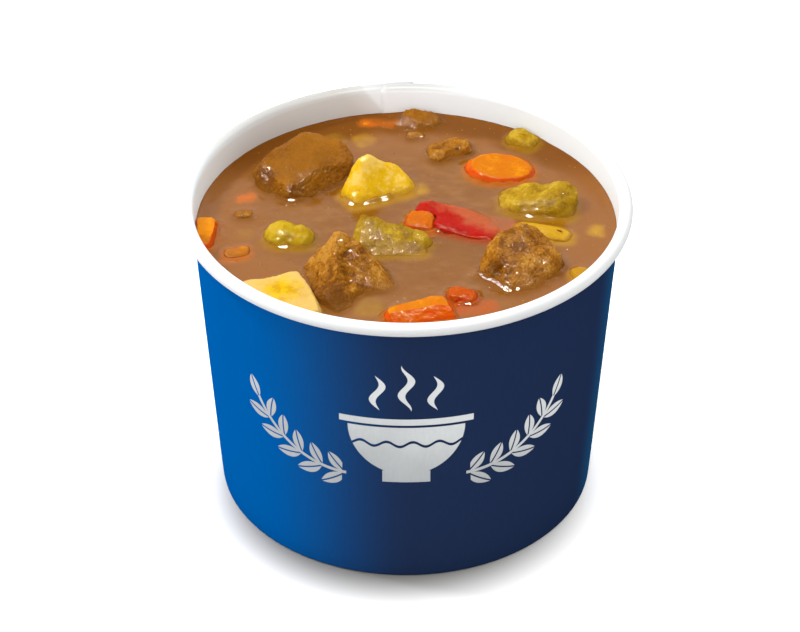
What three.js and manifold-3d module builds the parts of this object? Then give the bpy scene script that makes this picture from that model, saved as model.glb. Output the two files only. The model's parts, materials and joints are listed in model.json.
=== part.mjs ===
// Vegetable beef soup in a round paper cup: the rolled-rim wall, its recessed base, the broth
// up to its level, and each piece of meat and vegetable that stands out of the broth.
// Millimetres, +Z up, origin at the middle of the cup's foot.

import * as THREE from 'three';
import { mergeVertices } from 'three/addons/utils/BufferGeometryUtils.js';
import Module from 'manifold-3d';

const wasm = await Module();
wasm.setup();

// Cup
const RIM_RADIUS = 53;
const CUP_HEIGHT = 77;
const FOOT_RADIUS = 45;
const ROLL_RADIUS = 1.75;
const BOARD = 0.6;
const HEM_HEIGHT = 5.2;
const BASE_HEIGHT = 6;
const CUP_SEGMENTS = 48;
const ROLL_STEPS = 10;

// Contents
const BROTH_LEVEL = 69.6;
const GAP = 0.3;
const POCKET = 0.36;
const TOP_OF_SPACE = 95;
// A chunk has three rows of faces; below 1, the spread crowds them towards its visible top.
const CHUNK_ROWS = 3;
const RISE_SPREAD = 0.6;

// Cup measures that follow from the driving sizes
const ROLL_CENTRE_RADIUS = RIM_RADIUS - ROLL_RADIUS;
const ROLL_CENTRE_HEIGHT = CUP_HEIGHT - ROLL_RADIUS;
const WALL_TOP_RADIUS = ROLL_CENTRE_RADIUS - ROLL_RADIUS + BOARD;
const WALL_SLOPE = (WALL_TOP_RADIUS - FOOT_RADIUS) / ROLL_CENTRE_HEIGHT;

/** Radius of the wall's outer face at a height. */
function outerRadius(height) {
  return FOOT_RADIUS + WALL_SLOPE * height;
}

/** Radius of the wall's inner face at a height. */
function innerRadius(height) {
  return outerRadius(height) - BOARD;
}

/** A turned solid about the Z axis from [radius, height] pairs. */
function turned(profile, segments = CUP_SEGMENTS) {
  const points = profile.map(([radius, height]) => new THREE.Vector2(radius, height));
  const geometry = new THREE.LatheGeometry(points, segments);
  geometry.rotateX(Math.PI / 2);
  return geometry;
}

/** Sidewall, rolled rim and the hem that is folded in under the base. */
function cupWall() {
  const hemOuter = (height) => innerRadius(height) - 2 * GAP - BOARD;
  const profile = [
    [hemOuter(0) - BOARD, 0],
    [outerRadius(0), 0],
  ];
  const start = Math.PI + Math.acos((ROLL_RADIUS - BOARD) / ROLL_RADIUS);
  const sweep = 3 * Math.PI - start;
  for (let step = 0; step <= ROLL_STEPS; step += 1) {
    const angle = start + (sweep * step) / ROLL_STEPS;
    profile.push([
      ROLL_CENTRE_RADIUS + ROLL_RADIUS * Math.cos(angle),
      ROLL_CENTRE_HEIGHT + ROLL_RADIUS * Math.sin(angle),
    ]);
  }
  profile.push(
    [innerRadius(BASE_HEIGHT), BASE_HEIGHT],
    [innerRadius(BOARD), BOARD],
    [hemOuter(BOARD), BOARD],
    [hemOuter(HEM_HEIGHT), HEM_HEIGHT],
    [hemOuter(HEM_HEIGHT) - BOARD, HEM_HEIGHT],
    [hemOuter(0) - BOARD, 0],
  );
  return turned(profile);
}

/** Round base with its edge turned down into the hem. */
function cupBase() {
  const lip = BOARD + GAP;
  const top = BASE_HEIGHT + BOARD;
  const flange = (height) => innerRadius(height) - GAP;
  return turned([
    [0, BASE_HEIGHT],
    [flange(BASE_HEIGHT) - BOARD, BASE_HEIGHT],
    [flange(lip) - BOARD, lip],
    [flange(lip), lip],
    [flange(BASE_HEIGHT), BASE_HEIGHT],
    [flange(top) - BOARD, top],
    [0, top],
  ]);
}

/** The space inside the wall, kept a gap away from it, up to a height; upright past the rim. */
function insideCup(top) {
  const floor = BASE_HEIGHT + BOARD + GAP;
  const flaredTo = Math.min(top, ROLL_CENTRE_HEIGHT);
  const profile = [
    [0, floor],
    [innerRadius(floor) - GAP, floor],
    [innerRadius(flaredTo) - GAP, flaredTo],
  ];
  if (top > flaredTo) {
    profile.push([innerRadius(flaredTo) - GAP, top]);
  }
  profile.push([0, top]);
  return turned(profile);
}

/** Smooth unevenness of about -1 to 1 at a point; the seed gives each piece its own. */
function unevenness(point, seed) {
  let sum = 0;
  for (let wave = 1; wave <= 3; wave += 1) {
    const turn = seed * 1.37 + wave * 2.1;
    const along = point.x * Math.cos(turn) + point.y * Math.sin(turn);
    const across = point.z * Math.cos(turn * 1.7) - point.x * Math.sin(turn * 0.6);
    sum += Math.sin(along * wave + turn) * Math.cos(across * wave + 3 * turn) / wave;
  }
  return sum / 1.4;
}

/** Bilinear value on a square of -1 to 1 from its corners, counted round from the back left. */
function acrossCorners([backLeft, backRight, frontRight, frontLeft], u, v) {
  const back = backLeft + ((backRight - backLeft) * (u + 1)) / 2;
  const front = frontLeft + ((frontRight - frontLeft) * (u + 1)) / 2;
  return front + ((back - front) * (v + 1)) / 2;
}

/** Moves every point of a geometry by a function of the point. */
function reshape(geometry, move) {
  geometry.deleteAttribute('normal');
  geometry.deleteAttribute('uv');
  const merged = mergeVertices(geometry, 1e-4);
  const place = merged.attributes.position;
  const point = new THREE.Vector3();
  for (let index = 0; index < place.count; index += 1) {
    point.fromBufferAttribute(place, index);
    move(point);
    place.setXYZ(index, point.x, point.y, point.z);
  }
  return merged;
}

/**
 * A cut chunk with rounded edges. Its top has a height above the broth at each corner,
 * `inset` draws the top in, `lean` shifts it and `dish` hollows it. `below` is its depth
 * under the broth. A `plan` gives the waterline's corners in place of a width and a depth,
 * and then the top is drawn in towards `peak`.
 */
function chunk(size) {
  const { width, depth, plan, heights, below, seed } = size;
  const { inset = 0.2, lean = [0, 0], peak = [0, 0], dish = 0, edge = 4, rough = 0.5 } = size;
  const { grain = 0.35, cells = 4 } = size;
  const block = new THREE.BoxGeometry(2, 2, 2, cells, cells, CHUNK_ROWS);
  return reshape(block, (point) => {
    const sum = Math.abs(point.x) ** edge + Math.abs(point.y) ** edge + Math.abs(point.z) ** edge;
    point.multiplyScalar(1 / sum ** (1 / edge));
    const rise = ((point.z + 1) / 2) ** RISE_SPREAD;
    const middle = Math.max(0, 1 - point.x ** 2) * Math.max(0, 1 - point.y ** 2);
    const top = acrossCorners(heights, point.x, point.y) - dish * middle;
    const z = (top + below) * rise - below;
    let x = (point.x * width * (1 - inset * rise)) / 2 + lean[0] * rise;
    let y = (point.y * depth * (1 - inset * rise)) / 2 + lean[1] * rise;
    if (plan) {
      const drawn = inset * Math.max(0, z / top);
      const [across, along] = [0, 1].map((axis) =>
        acrossCorners(plan.map((corner) => corner[axis]), point.x, point.y));
      x = across + (peak[0] - across) * drawn;
      y = along + (peak[1] - along) * drawn;
    }
    const outward = point.clone().normalize();
    point.set(x, y, z);
    const bump = rough * unevenness(point.clone().multiplyScalar(grain), seed);
    point.addScaledVector(outward, bump);
  });
}

/** A slice cut across a root: an oval disc with softened rims. */
function slice(size) {
  const { width, depth, thickness, seed, softness = 0.28, rough = 0.3, sides = 20 } = size;
  const radius = width / 2;
  const half = thickness / 2;
  const soft = softness * thickness;
  const profile = [
    [0, -half],
    [radius - soft, -half],
    [radius, -half + soft],
    [radius, half - soft],
    [radius - soft, half],
    [0, half],
  ];
  return reshape(turned(profile, sides), (point) => {
    const outward = new THREE.Vector3(point.x, point.y, 0).normalize();
    const bump = rough * unevenness(point.clone().multiplyScalar(0.3), seed);
    point.addScaledVector(outward, bump * Math.min(1, Math.hypot(point.x, point.y)));
    point.y *= depth / width;
  });
}

/** Distance from the origin to the far side of an ellipsoid whose middle is on the X axis. */
function reach(direction, middle, radii) {
  const [a, b, c] = radii;
  const square = (direction.x / a) ** 2 + (direction.y / b) ** 2 + (direction.z / c) ** 2;
  const linear = (direction.x * middle) / a ** 2;
  const constant = (middle / a) ** 2 - 1;
  return (linear + Math.sqrt(linear ** 2 - square * constant)) / square;
}

/** Two rounded lobes side by side with a cleft between them. */
function lobes({ lobeMiddles, lobeRadii }) {
  return reshape(new THREE.IcosahedronGeometry(1, 2), (point) => {
    const direction = point.clone().normalize();
    const lengths = lobeMiddles.map((middle, lobe) => reach(direction, middle, lobeRadii[lobe]));
    point.copy(direction).multiplyScalar(Math.max(...lengths));
  });
}

const FORMS = { chunk, slice, lobes };

const BEEF = { color: 0xa46929, roughness: 0.35 };
const POTATO = { color: 0xe7b625, roughness: 0.3 };
const PALE_POTATO = { color: 0xf0cc55, roughness: 0.45 };
const CARROT = { color: 0xef8a24, roughness: 0.28 };
const GREENS = { color: 0xb98f2f, roughness: 0.35 };
const PEPPER = { color: 0xbc3423, roughness: 0.25 };

// Every piece: its food, form, sizes, place on the broth, turn about Z and tilts about X and Y.
// `raise` lifts a slice or lobed piece's middle above the broth.
const PIECES = {
  potato_front_left: {
    food: PALE_POTATO, form: 'chunk', width: 17, depth: 17, heights: [3.8, 4, 3.2, 3.6],
    below: 9, inset: 0.06, edge: 6, rough: 0.25, seed: 7, at: [-28, -34.4], turn: 17,
  },
  beef_front: {
    food: BEEF, form: 'chunk', plan: [[-11.4, 8.4], [5.2, 12.4], [13.4, -0.4], [-1.8, -13.2]],
    heights: [9.5, 11, 4.6, 5.6], below: 8, inset: 0.6, peak: [-1.2, 5.4], edge: 4.6,
    rough: 0.7, cells: 5, seed: 3, at: [-14, -26.4], turn: 0,
  },
  beef_right: {
    food: BEEF, form: 'chunk', width: 21, depth: 17.5, heights: [7, 10.5, 4.5, 3], below: 8,
    inset: 0.25, lean: [-0.5, 0.5], edge: 3.6, rough: 0.8, cells: 5, seed: 8,
    at: [27, -18.5], turn: 40,
  },
  beef_back_left: {
    food: BEEF, form: 'chunk', width: 24, depth: 18.5, heights: [7, 9.5, 5, 4], below: 8,
    inset: 0.2, lean: [0.4, 0.6], edge: 3.6, rough: 0.7, cells: 5, seed: 5,
    at: [-24.8, 19.3], turn: 40,
  },
  beef_back: {
    food: BEEF, form: 'chunk', width: 10, depth: 8, heights: [3.5, 2.5, 1.5, 2], below: 6,
    rough: 0.6, seed: 11, at: [2.5, 45], turn: -8,
  },
  beef_back_middle: {
    food: BEEF, form: 'chunk', width: 12, depth: 6.5, heights: [1.6, 3, 2.4, 2.6], below: 5,
    rough: 0.6, seed: 14, at: [10.5, 31.7], turn: 14,
  },
  potato_centre: {
    food: POTATO, form: 'chunk', width: 22.5, depth: 12.5, heights: [11.5, 5.5, 0.4, 1.6],
    below: 7, inset: 0.48, lean: [2.2, 1], edge: 5, rough: 0.35, cells: 5, seed: 2,
    at: [-7.2, 12.2], turn: 22,
  },
  potato_right: {
    food: POTATO, form: 'chunk', width: 18, depth: 7, heights: [1.2, 0.8, 0.8, 1.4], below: 5,
    inset: 0.2, rough: 0.3, seed: 9, at: [32, -4], turn: -16,
  },
  potato_front_right: {
    food: POTATO, form: 'chunk', width: 6.5, depth: 7, heights: [2, 1.6, 1.4, 2], below: 5,
    inset: 0.3, rough: 0.3, cells: 3, seed: 4, at: [40, -22], turn: 20,
  },
  carrot_right: {
    food: CARROT, form: 'slice', width: 17.5, depth: 11.5, thickness: 5.5, seed: 6,
    at: [22.5, 22.6], raise: -0.8, turn: -6, tilt: [6, 5],
  },
  carrot_front: {
    food: CARROT, form: 'chunk', width: 17, depth: 10, heights: [1.5, 3.8, 3.4, 2.5], below: 6,
    inset: 0.1, edge: 5, rough: 0.35, seed: 12, at: [3, -38.5], turn: 12,
  },
  carrot_left: {
    food: CARROT, form: 'chunk', width: 7, depth: 13.5, heights: [2.6, 2.4, 2.2, 2.8], below: 6,
    inset: 0.12, edge: 4.5, rough: 0.3, seed: 15, at: [-47.4, -5.6], turn: -7,
  },
  carrot_centre: {
    food: CARROT, form: 'chunk', width: 8.5, depth: 7, heights: [3.6, 3, 1.6, 1.4], below: 5,
    inset: 0.15, rough: 0.35, seed: 13, at: [3.4, -0.8], turn: -12,
  },
  carrot_bit_left: {
    food: CARROT, form: 'chunk', width: 6, depth: 5, heights: [0.8, 0.7, 0.5, 0.6], below: 4,
    rough: 0.2, seed: 17, cells: 3, at: [-39, -12.4], turn: 12,
  },
  red_pepper: {
    food: PEPPER, form: 'chunk', width: 23.5, depth: 12, heights: [3.2, -0.2, 1.4, 3], below: 4,
    inset: 0.1, dish: 1.2, rough: 0.4, seed: 16, at: [12.4, 0.3], turn: -20,
  },
  red_pepper_front: {
    food: PEPPER, form: 'chunk', width: 8.6, depth: 5.5, heights: [2.4, 1.6, 1.2, 1.8], below: 4,
    inset: 0.25, rough: 0.3, cells: 3, seed: 18, at: [12.6, -30.4], turn: -10,
  },
  celery_centre: {
    food: GREENS, form: 'chunk', width: 23, depth: 10.5, heights: [8.5, 3, 0.6, 2.4], below: 5,
    inset: 0.25, lean: [-0.6, 0.8], rough: 0.9, grain: 0.5, cells: 5, seed: 19,
    at: [-2.6, -10.6], turn: -4,
  },
  celery_right: {
    food: GREENS, form: 'chunk', width: 21.5, depth: 11.5, heights: [2.6, 6, 5, 1.4], below: 5,
    inset: 0.22, rough: 0.9, grain: 0.5, cells: 5, seed: 20, at: [31, 7.8], turn: -8,
  },
  celery_back: {
    food: GREENS, form: 'chunk', width: 10, depth: 8, heights: [2.6, 1.8, 1.6, 2.2], below: 5,
    inset: 0.3, rough: 0.5, seed: 21, at: [28.5, 36], turn: -30,
  },
  bean_left: {
    food: GREENS, form: 'lobes', lobeMiddles: [-1.9, 2.4],
    lobeRadii: [[4.4, 4.3, 3.9], [3.7, 3.6, 3.2]],
    at: [-27, -6.4], raise: 0.2, turn: -12,
  },
  beef_bit_back: {
    food: BEEF, form: 'chunk', width: 5.4, depth: 3.6, heights: [1, 0.9, 0.7, 0.8], below: 3,
    rough: 0.3, cells: 3, seed: 22, at: [2.4, 38.6], turn: 5,
  },
  beef_bit_left: {
    food: BEEF, form: 'chunk', width: 4.8, depth: 3.6, heights: [1, 0.8, 0.8, 0.7], below: 3,
    rough: 0.3, cells: 3, seed: 23, at: [-38.3, 3.6], turn: 0,
  },
};

/** A piece's geometry in its place in the cup. */
function placed(piece) {
  const geometry = FORMS[piece.form](piece);
  const [tiltX, tiltY] = (piece.tilt ?? [0, 0]).map(THREE.MathUtils.degToRad);
  geometry.rotateX(tiltX);
  geometry.rotateY(tiltY);
  geometry.rotateZ(THREE.MathUtils.degToRad(piece.turn));
  geometry.translate(piece.at[0], piece.at[1], BROTH_LEVEL + (piece.raise ?? 0));
  return geometry;
}

/** A copy whose surface stands out by a distance along its normals. */
function grown(geometry, distance) {
  const copy = geometry.clone();
  copy.computeVertexNormals();
  const { position, normal } = copy.attributes;
  for (let index = 0; index < position.count; index += 1) {
    position.setXYZ(
      index,
      position.getX(index) + normal.getX(index) * distance,
      position.getY(index) + normal.getY(index) * distance,
      position.getZ(index) + normal.getZ(index) * distance,
    );
  }
  return copy;
}

/** A manifold solid from a closed geometry. */
function solidFrom(geometry) {
  const bare = geometry.clone();
  bare.deleteAttribute('normal');
  bare.deleteAttribute('uv');
  const merged = mergeVertices(bare, 1e-4);
  const vertProperties = new Float32Array(merged.attributes.position.array);
  const triVerts = new Uint32Array(merged.index.array);
  return new wasm.Manifold(new wasm.Mesh({ numProp: 3, vertProperties, triVerts }));
}

/** The largest body of a solid, without the slivers that a cut can leave. */
function largestBody(solid) {
  const bodies = solid.decompose();
  return bodies.reduce((best, body) => (body.volume() > best.volume() ? body : best));
}

/** A buffer geometry from a manifold solid. */
function geometryFrom(solid) {
  const { vertProperties, triVerts } = solid.getMesh();
  const geometry = new THREE.BufferGeometry();
  geometry.setAttribute('position', new THREE.BufferAttribute(vertProperties, 3));
  geometry.setIndex(new THREE.BufferAttribute(triVerts, 1));
  geometry.computeVertexNormals();
  return geometry;
}

/** A named mesh with its own material. */
function named(name, geometry, { color, roughness }) {
  const material = new THREE.MeshStandardMaterial({ color, roughness, metalness: 0 });
  const mesh = new THREE.Mesh(geometry, material);
  mesh.name = name;
  return mesh;
}

/** Every piece as a solid inside the cup, each cut back from those before it, and the broth. */
function contents() {
  const space = solidFrom(insideCup(TOP_OF_SPACE));
  let broth = solidFrom(insideCup(BROTH_LEVEL));
  const meshes = [];
  const pockets = [];
  for (const [name, piece] of Object.entries(PIECES)) {
    const geometry = placed(piece);
    const pocket = solidFrom(grown(geometry, POCKET));
    let solid = solidFrom(geometry).intersect(space);
    for (const earlier of pockets) {
      solid = solid.subtract(earlier);
    }
    pockets.push(pocket);
    broth = broth.subtract(pocket);
    meshes.push(named(name, geometryFrom(largestBody(solid)), piece.food));
  }
  const liquid = { color: 0xa77048, roughness: 0.25 };
  meshes.push(named('broth', geometryFrom(largestBody(broth)), liquid));
  return meshes;
}

const soup = new THREE.Group();
soup.name = 'vegetable_beef_soup';
soup.add(named('cup_wall', cupWall(), { color: 0x0a4d94, roughness: 0.4 }));
soup.add(named('cup_base', cupBase(), { color: 0xe9e6e0, roughness: 0.7 }));
soup.add(...contents());

export default soup;
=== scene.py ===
"""Vegetable beef soup in a rolled-rim paper cup, with its studio."""

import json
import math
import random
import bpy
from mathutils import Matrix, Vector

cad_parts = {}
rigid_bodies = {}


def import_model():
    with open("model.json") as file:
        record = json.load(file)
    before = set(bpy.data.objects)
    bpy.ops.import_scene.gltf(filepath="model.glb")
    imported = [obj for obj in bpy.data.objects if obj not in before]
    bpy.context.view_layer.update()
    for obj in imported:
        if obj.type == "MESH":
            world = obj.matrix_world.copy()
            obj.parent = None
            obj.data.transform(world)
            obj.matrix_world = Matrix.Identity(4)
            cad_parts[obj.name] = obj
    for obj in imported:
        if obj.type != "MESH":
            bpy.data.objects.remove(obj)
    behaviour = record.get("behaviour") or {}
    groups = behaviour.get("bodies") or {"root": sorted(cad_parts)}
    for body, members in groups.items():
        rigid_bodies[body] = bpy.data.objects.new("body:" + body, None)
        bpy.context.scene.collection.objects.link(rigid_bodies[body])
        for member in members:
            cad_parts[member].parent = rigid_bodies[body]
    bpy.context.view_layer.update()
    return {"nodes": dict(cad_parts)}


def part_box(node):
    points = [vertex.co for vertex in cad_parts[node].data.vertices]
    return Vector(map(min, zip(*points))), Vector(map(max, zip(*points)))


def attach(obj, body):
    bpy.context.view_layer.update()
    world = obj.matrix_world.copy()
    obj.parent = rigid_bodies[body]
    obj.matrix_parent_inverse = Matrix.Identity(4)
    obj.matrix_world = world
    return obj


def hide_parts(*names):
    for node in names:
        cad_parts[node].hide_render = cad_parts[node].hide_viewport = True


bl_info = {
    "name": "Vegetable Beef Soup",
    "version": (1, 0, 0),
    "blender": (4, 5, 0),
    "location": "3D View > Sidebar > Soup",
    "description": "Makes a paper cup of vegetable beef soup around its packed solids",
    "category": "Object",
}

from functools import partial
from typing import NamedTuple

import bpy
import numpy as np
from mathutils import Vector, noise
from mathutils.bvhtree import BVHTree

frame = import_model()

MM = 0.001
BODY = "root"
SEED = 7

# ------------------------------------------------------------------ sizes taken from the frame

RIM_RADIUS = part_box("cup_wall")[1].x
CUP_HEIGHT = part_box("cup_wall")[1].z
BASE_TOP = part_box("cup_base")[1].z
FOOT_RADIUS = -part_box("cup_wall")[0].y * 45 / 53
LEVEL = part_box("broth")[1].z
DOWN = Vector((0, 0, -1))
UP = Vector((0, 0, 1))


def colour(name, description, default):
    """A colour that a user may change."""
    return bpy.props.FloatVectorProperty(
        name=name, description=description, subtype="COLOR", size=4, default=(*default, 1))


def length(name, description, default):
    """A length that a user may change; the default is in millimetres."""
    return bpy.props.FloatProperty(
        name=name, description=description, unit="LENGTH", default=default * MM)


class SoupSettings(bpy.types.PropertyGroup):
    """Sizes and colours of the cup of soup."""

    board: length("Board", "Thickness of the paper board", 0.5)
    roll_radius: length("Roll radius", "Radius of the rolled rim's section", 1.7)
    meniscus: length("Meniscus", "How far the broth climbs what it touches", 1.0)
    meniscus_reach: length("Meniscus reach", "How fast the meniscus dies away", 0.85)
    murk: length("Murk", "Depth at which the broth hides most of what is sunk", 0.9)
    print_light: colour("Print, light", "Royal blue of the cup's print", (0.0, 0.082, 0.305))
    # The navy below is painted shade and the brighter edge blue is a painted highlight, both on
    # one royal blue print.
    print_dark: colour("Print, dark", "Navy that the print turns to", (0.012, 0.024, 0.066))
    print_edge: colour("Print, edge", "Brighter blue at the right", (0.008, 0.06, 0.155))
    silver_dark: colour("Silver, dark", "Darker tone of the motif", (0.38, 0.395, 0.405))
    silver: colour("Silver", "Pale ink of the motif", (0.62, 0.64, 0.65))
    paper: colour("Paper", "White of the coated board", (0.84, 0.85, 0.855))
    raw_board: colour("Raw board", "Uncoated board under the base", (0.8, 0.77, 0.71))
    broth: colour("Broth", "Brown of the broth", (0.2, 0.07, 0.004))
    broth_deep: colour(
        "Broth, deep", "Darker brown where the broth is clear", (0.178, 0.058, 0.002))
    broth_pale: colour("Broth, pale", "Cloudy brown where fat floats", (0.25, 0.1, 0.018))
    broth_edge: colour("Broth, edge", "Orange brown along the cup's sides", (0.235, 0.079, 0.006))
    # Painted shade: the darker, clearer brown along the far side of the broth.
    broth_back: colour("Broth, back", "Clear brown along the far side", (0.165, 0.05, 0.001))
    # Each food's dark and light tones below follow its relief and its recipe's tones: painted
    # shade in hollows and low pockets, painted light on ridges and tops.
    beef_dark: colour("Beef, dark", "Hollows of the beef", (0.15, 0.048, 0.003))
    beef_main: colour("Beef", "Brown of the stewed beef", (0.29, 0.105, 0.005))
    beef_glazed: colour("Beef, glazed", "Beef under a smooth coat of gravy", (0.225, 0.08, 0.004))
    beef_light: colour("Beef, light", "Ridges and torn fibres", (0.44, 0.2, 0.024))
    potato_dark: colour("Potato, dark", "Potato near the broth", (0.5, 0.27, 0.004))
    potato_main: colour("Potato", "Yellow of the cooked potato", (0.64, 0.38, 0.005))
    potato_pale: colour("Potato, pale", "Pale yellow of the drier piece", (0.62, 0.395, 0.105))
    potato_light: colour("Potato, light", "Pale flesh of the potato", (0.72, 0.48, 0.09))
    # Laid on the carrot's upright sides: its redder outer flesh, with painted shade.
    carrot_dark: colour("Carrot, dark", "Red edge of the carrot", (0.56, 0.054, 0.002))
    carrot_deep: colour("Carrot, deep", "Redder patches of the carrot", (0.54, 0.115, 0.003))
    carrot_main: colour("Carrot", "Orange of the carrot", (0.5, 0.14, 0.002))
    carrot_light: colour("Carrot, light", "Light core of the carrot", (0.66, 0.22, 0.003))
    celery_dark: colour("Celery, dark", "Hollows of the celery", (0.225, 0.115, 0.005))
    celery_main: colour("Celery", "Olive yellow of the celery", (0.33, 0.185, 0.005))
    celery_light: colour("Celery, light", "Ribs of the celery", (0.46, 0.29, 0.018))
    bean_main: colour("Bean", "Yellow green of the bean", (0.43, 0.28, 0.008))
    pepper_dark: colour("Pepper, dark", "Deep red skin", (0.3, 0.006, 0.003))
    pepper_main: colour("Pepper", "Red of the pepper", (0.36, 0.008, 0.003))
    pepper_bit: colour("Pepper, small", "Orange red of the small pieces", (0.42, 0.065, 0.004))
    pepper_flesh: colour("Pepper, flesh", "Pink flesh under a film of broth", (0.4, 0.085, 0.034))
    camera_distance: length("Camera distance", "From the aim to the camera", 766.9)
    camera_elevation: bpy.props.FloatProperty(
        name="Camera elevation", description="How far the camera looks down",
        default=math.radians(35.11), subtype="ANGLE")
    key_power: bpy.props.FloatProperty(
        name="Key light", description="Power of the soft box at the left, in watts", default=3.9)
    glint_power: bpy.props.FloatProperty(
        name="Glint light", description="Power of the strip mirrored in wet edges, in watts",
        default=200.0)


def settings():
    """The scene's soup settings."""
    return bpy.context.scene.soup


# ------------------------------------------------------------------ modelling tools


def only(*pieces):
    """Selects these objects alone, and makes the first one active."""
    if bpy.context.object and bpy.context.object.mode != "OBJECT":
        bpy.ops.object.mode_set(mode="OBJECT")
    bpy.ops.object.select_all(action="DESELECT")
    for piece in pieces:
        piece.select_set(True)
    bpy.context.view_layer.objects.active = pieces[0]


def apply(piece, kind, **values):
    """Adds a modifier with these values and applies it."""
    only(piece)
    modifier = piece.modifiers.new(kind.title(), kind)
    for key, value in values.items():
        setattr(modifier, key, value)
    bpy.ops.object.modifier_apply(modifier=modifier.name)


def edit(piece, *steps, select=None):
    """Runs edit-mode steps on the vertices that a test selects, or on all of them."""
    only(piece)
    bpy.ops.object.mode_set(mode="EDIT")
    bpy.ops.mesh.select_mode(type="VERT")
    bpy.ops.mesh.select_all(action="DESELECT" if select else "SELECT")
    if select:
        bpy.ops.object.mode_set(mode="OBJECT")
        for vertex in piece.data.vertices:
            vertex.select = bool(select(vertex.co))
        bpy.ops.object.mode_set(mode="EDIT")
    for step in steps:
        step()
    bpy.ops.object.mode_set(mode="OBJECT")


def primitive(kind, name, **values):
    """Adds a primitive with nothing else selected."""
    bpy.ops.object.select_all(action="DESELECT")
    getattr(bpy.ops.mesh, "primitive_" + kind + "_add")(**values)
    bpy.context.object.name = name
    return bpy.context.object


def linked(name, data):
    """A new object in the scene for this data."""
    made = bpy.data.objects.new(name, data)
    bpy.context.scene.collection.objects.link(made)
    return made


def settle(piece):
    """Puts a piece's place, turn and size into its mesh, with its object at the origin."""
    only(piece)
    bpy.ops.object.transform_apply(location=True, rotation=True, scale=True)


def points(piece, what="co"):
    """The places or normals of a mesh's vertices as an array."""
    values = np.empty(len(piece.data.vertices) * 3)
    source = piece.data.vertices if what == "co" else piece.data.vertex_normals
    source.foreach_get("co" if what == "co" else "vector", values)
    return values.reshape(-1, 3)


def move_points(piece, places):
    """Moves a mesh's vertices to the places in an array."""
    piece.data.vertices.foreach_set("co", np.asarray(places, dtype=np.float32).ravel())
    piece.data.update()


def store(piece, name, values):
    """Stores a number for each vertex under a name that materials can read."""
    attribute = piece.data.attributes.get(name) or piece.data.attributes.new(
        name, "FLOAT", "POINT")
    attribute.data.foreach_set("value", np.asarray(values, dtype=np.float32))


def turned(name, profile, angle=360.0, steps=96, start=0.0):
    """Turns a profile of (radius, height) points about the Z axis, from a start angle."""
    piece = primitive("plane", name, size=MM)
    direction = Vector((math.cos(math.radians(start)), math.sin(math.radians(start)), 0))
    line = [direction * radius + UP * height for radius, height in profile]
    bpy.ops.object.mode_set(mode="EDIT")
    bpy.ops.mesh.select_all(action="SELECT")
    bpy.ops.mesh.merge(type="CENTER")
    bpy.ops.transform.translate(value=line[0])
    for here, there in zip(line, line[1:]):
        bpy.ops.mesh.extrude_vertices_move(TRANSFORM_OT_translate={"value": there - here})
    bpy.ops.mesh.select_all(action="SELECT")
    bpy.ops.mesh.spin(
        steps=steps, angle=math.radians(angle), center=(0, 0, 0), axis=(0, 0, 1))
    bpy.ops.object.mode_set(mode="OBJECT")
    return piece


def face_outwards(piece):
    """Merges doubles and points the faces away from the axis or up."""
    edit(piece, lambda: bpy.ops.mesh.remove_doubles(threshold=1e-6),
         lambda: bpy.ops.mesh.normals_make_consistent(inside=False))


def relief(piece, depth, size, turn=(0, 0, 0), group=""):
    """Raises and sinks a surface in soft lumps; depth and size are in mm."""
    texture = bpy.data.textures.new("Relief", "CLOUDS")
    texture.noise_scale = 1.0
    guide = linked("Grain", None)
    guide.rotation_euler = [math.radians(angle) for angle in turn]
    guide.scale = Vector(size if isinstance(size, tuple) else (size,) * 3) * MM
    guide.location = (0.5 * MM, 0.3 * MM, 0.2 * MM)
    bpy.context.view_layer.update()
    apply(piece, "DISPLACE", texture=texture, texture_coords="OBJECT",
          texture_coords_object=guide, strength=depth * MM, mid_level=0.5, vertex_group=group)
    bpy.data.objects.remove(guide)
    bpy.data.textures.remove(texture)


def fine_copy(node, name, voxel, rounding):
    """A fine mesh with softened edges over a CAD node's solid; the voxel is in mm."""
    mesh = frame["nodes"][node].data.copy()
    mesh.materials.clear()
    piece = linked(name, mesh)
    only(piece)
    bpy.ops.mesh.customdata_custom_splitnormals_clear()
    edit(piece, lambda: bpy.ops.mesh.remove_doubles(threshold=1e-6))
    apply(piece, "REMESH", mode="VOXEL", voxel_size=voxel * MM)
    apply(piece, "SMOOTH", factor=0.5, iterations=rounding)
    return piece


def weigh(piece, name, weights):
    """Makes a vertex group from an array of weights."""
    group = piece.vertex_groups.new(name=name)
    shades = 20
    levels = np.clip(np.round(np.asarray(weights) * shades), 0, shades).astype(int)
    for level in range(1, shades + 1):
        group.add(np.nonzero(levels == level)[0].tolist(), level / shades, "REPLACE")
    return group.name


def smooth_step(values, low, high):
    """A smooth step from 0 at low to 1 at high."""
    part = np.clip((values - low) / (high - low), 0, 1)
    return part * part * (3 - 2 * part)


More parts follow.
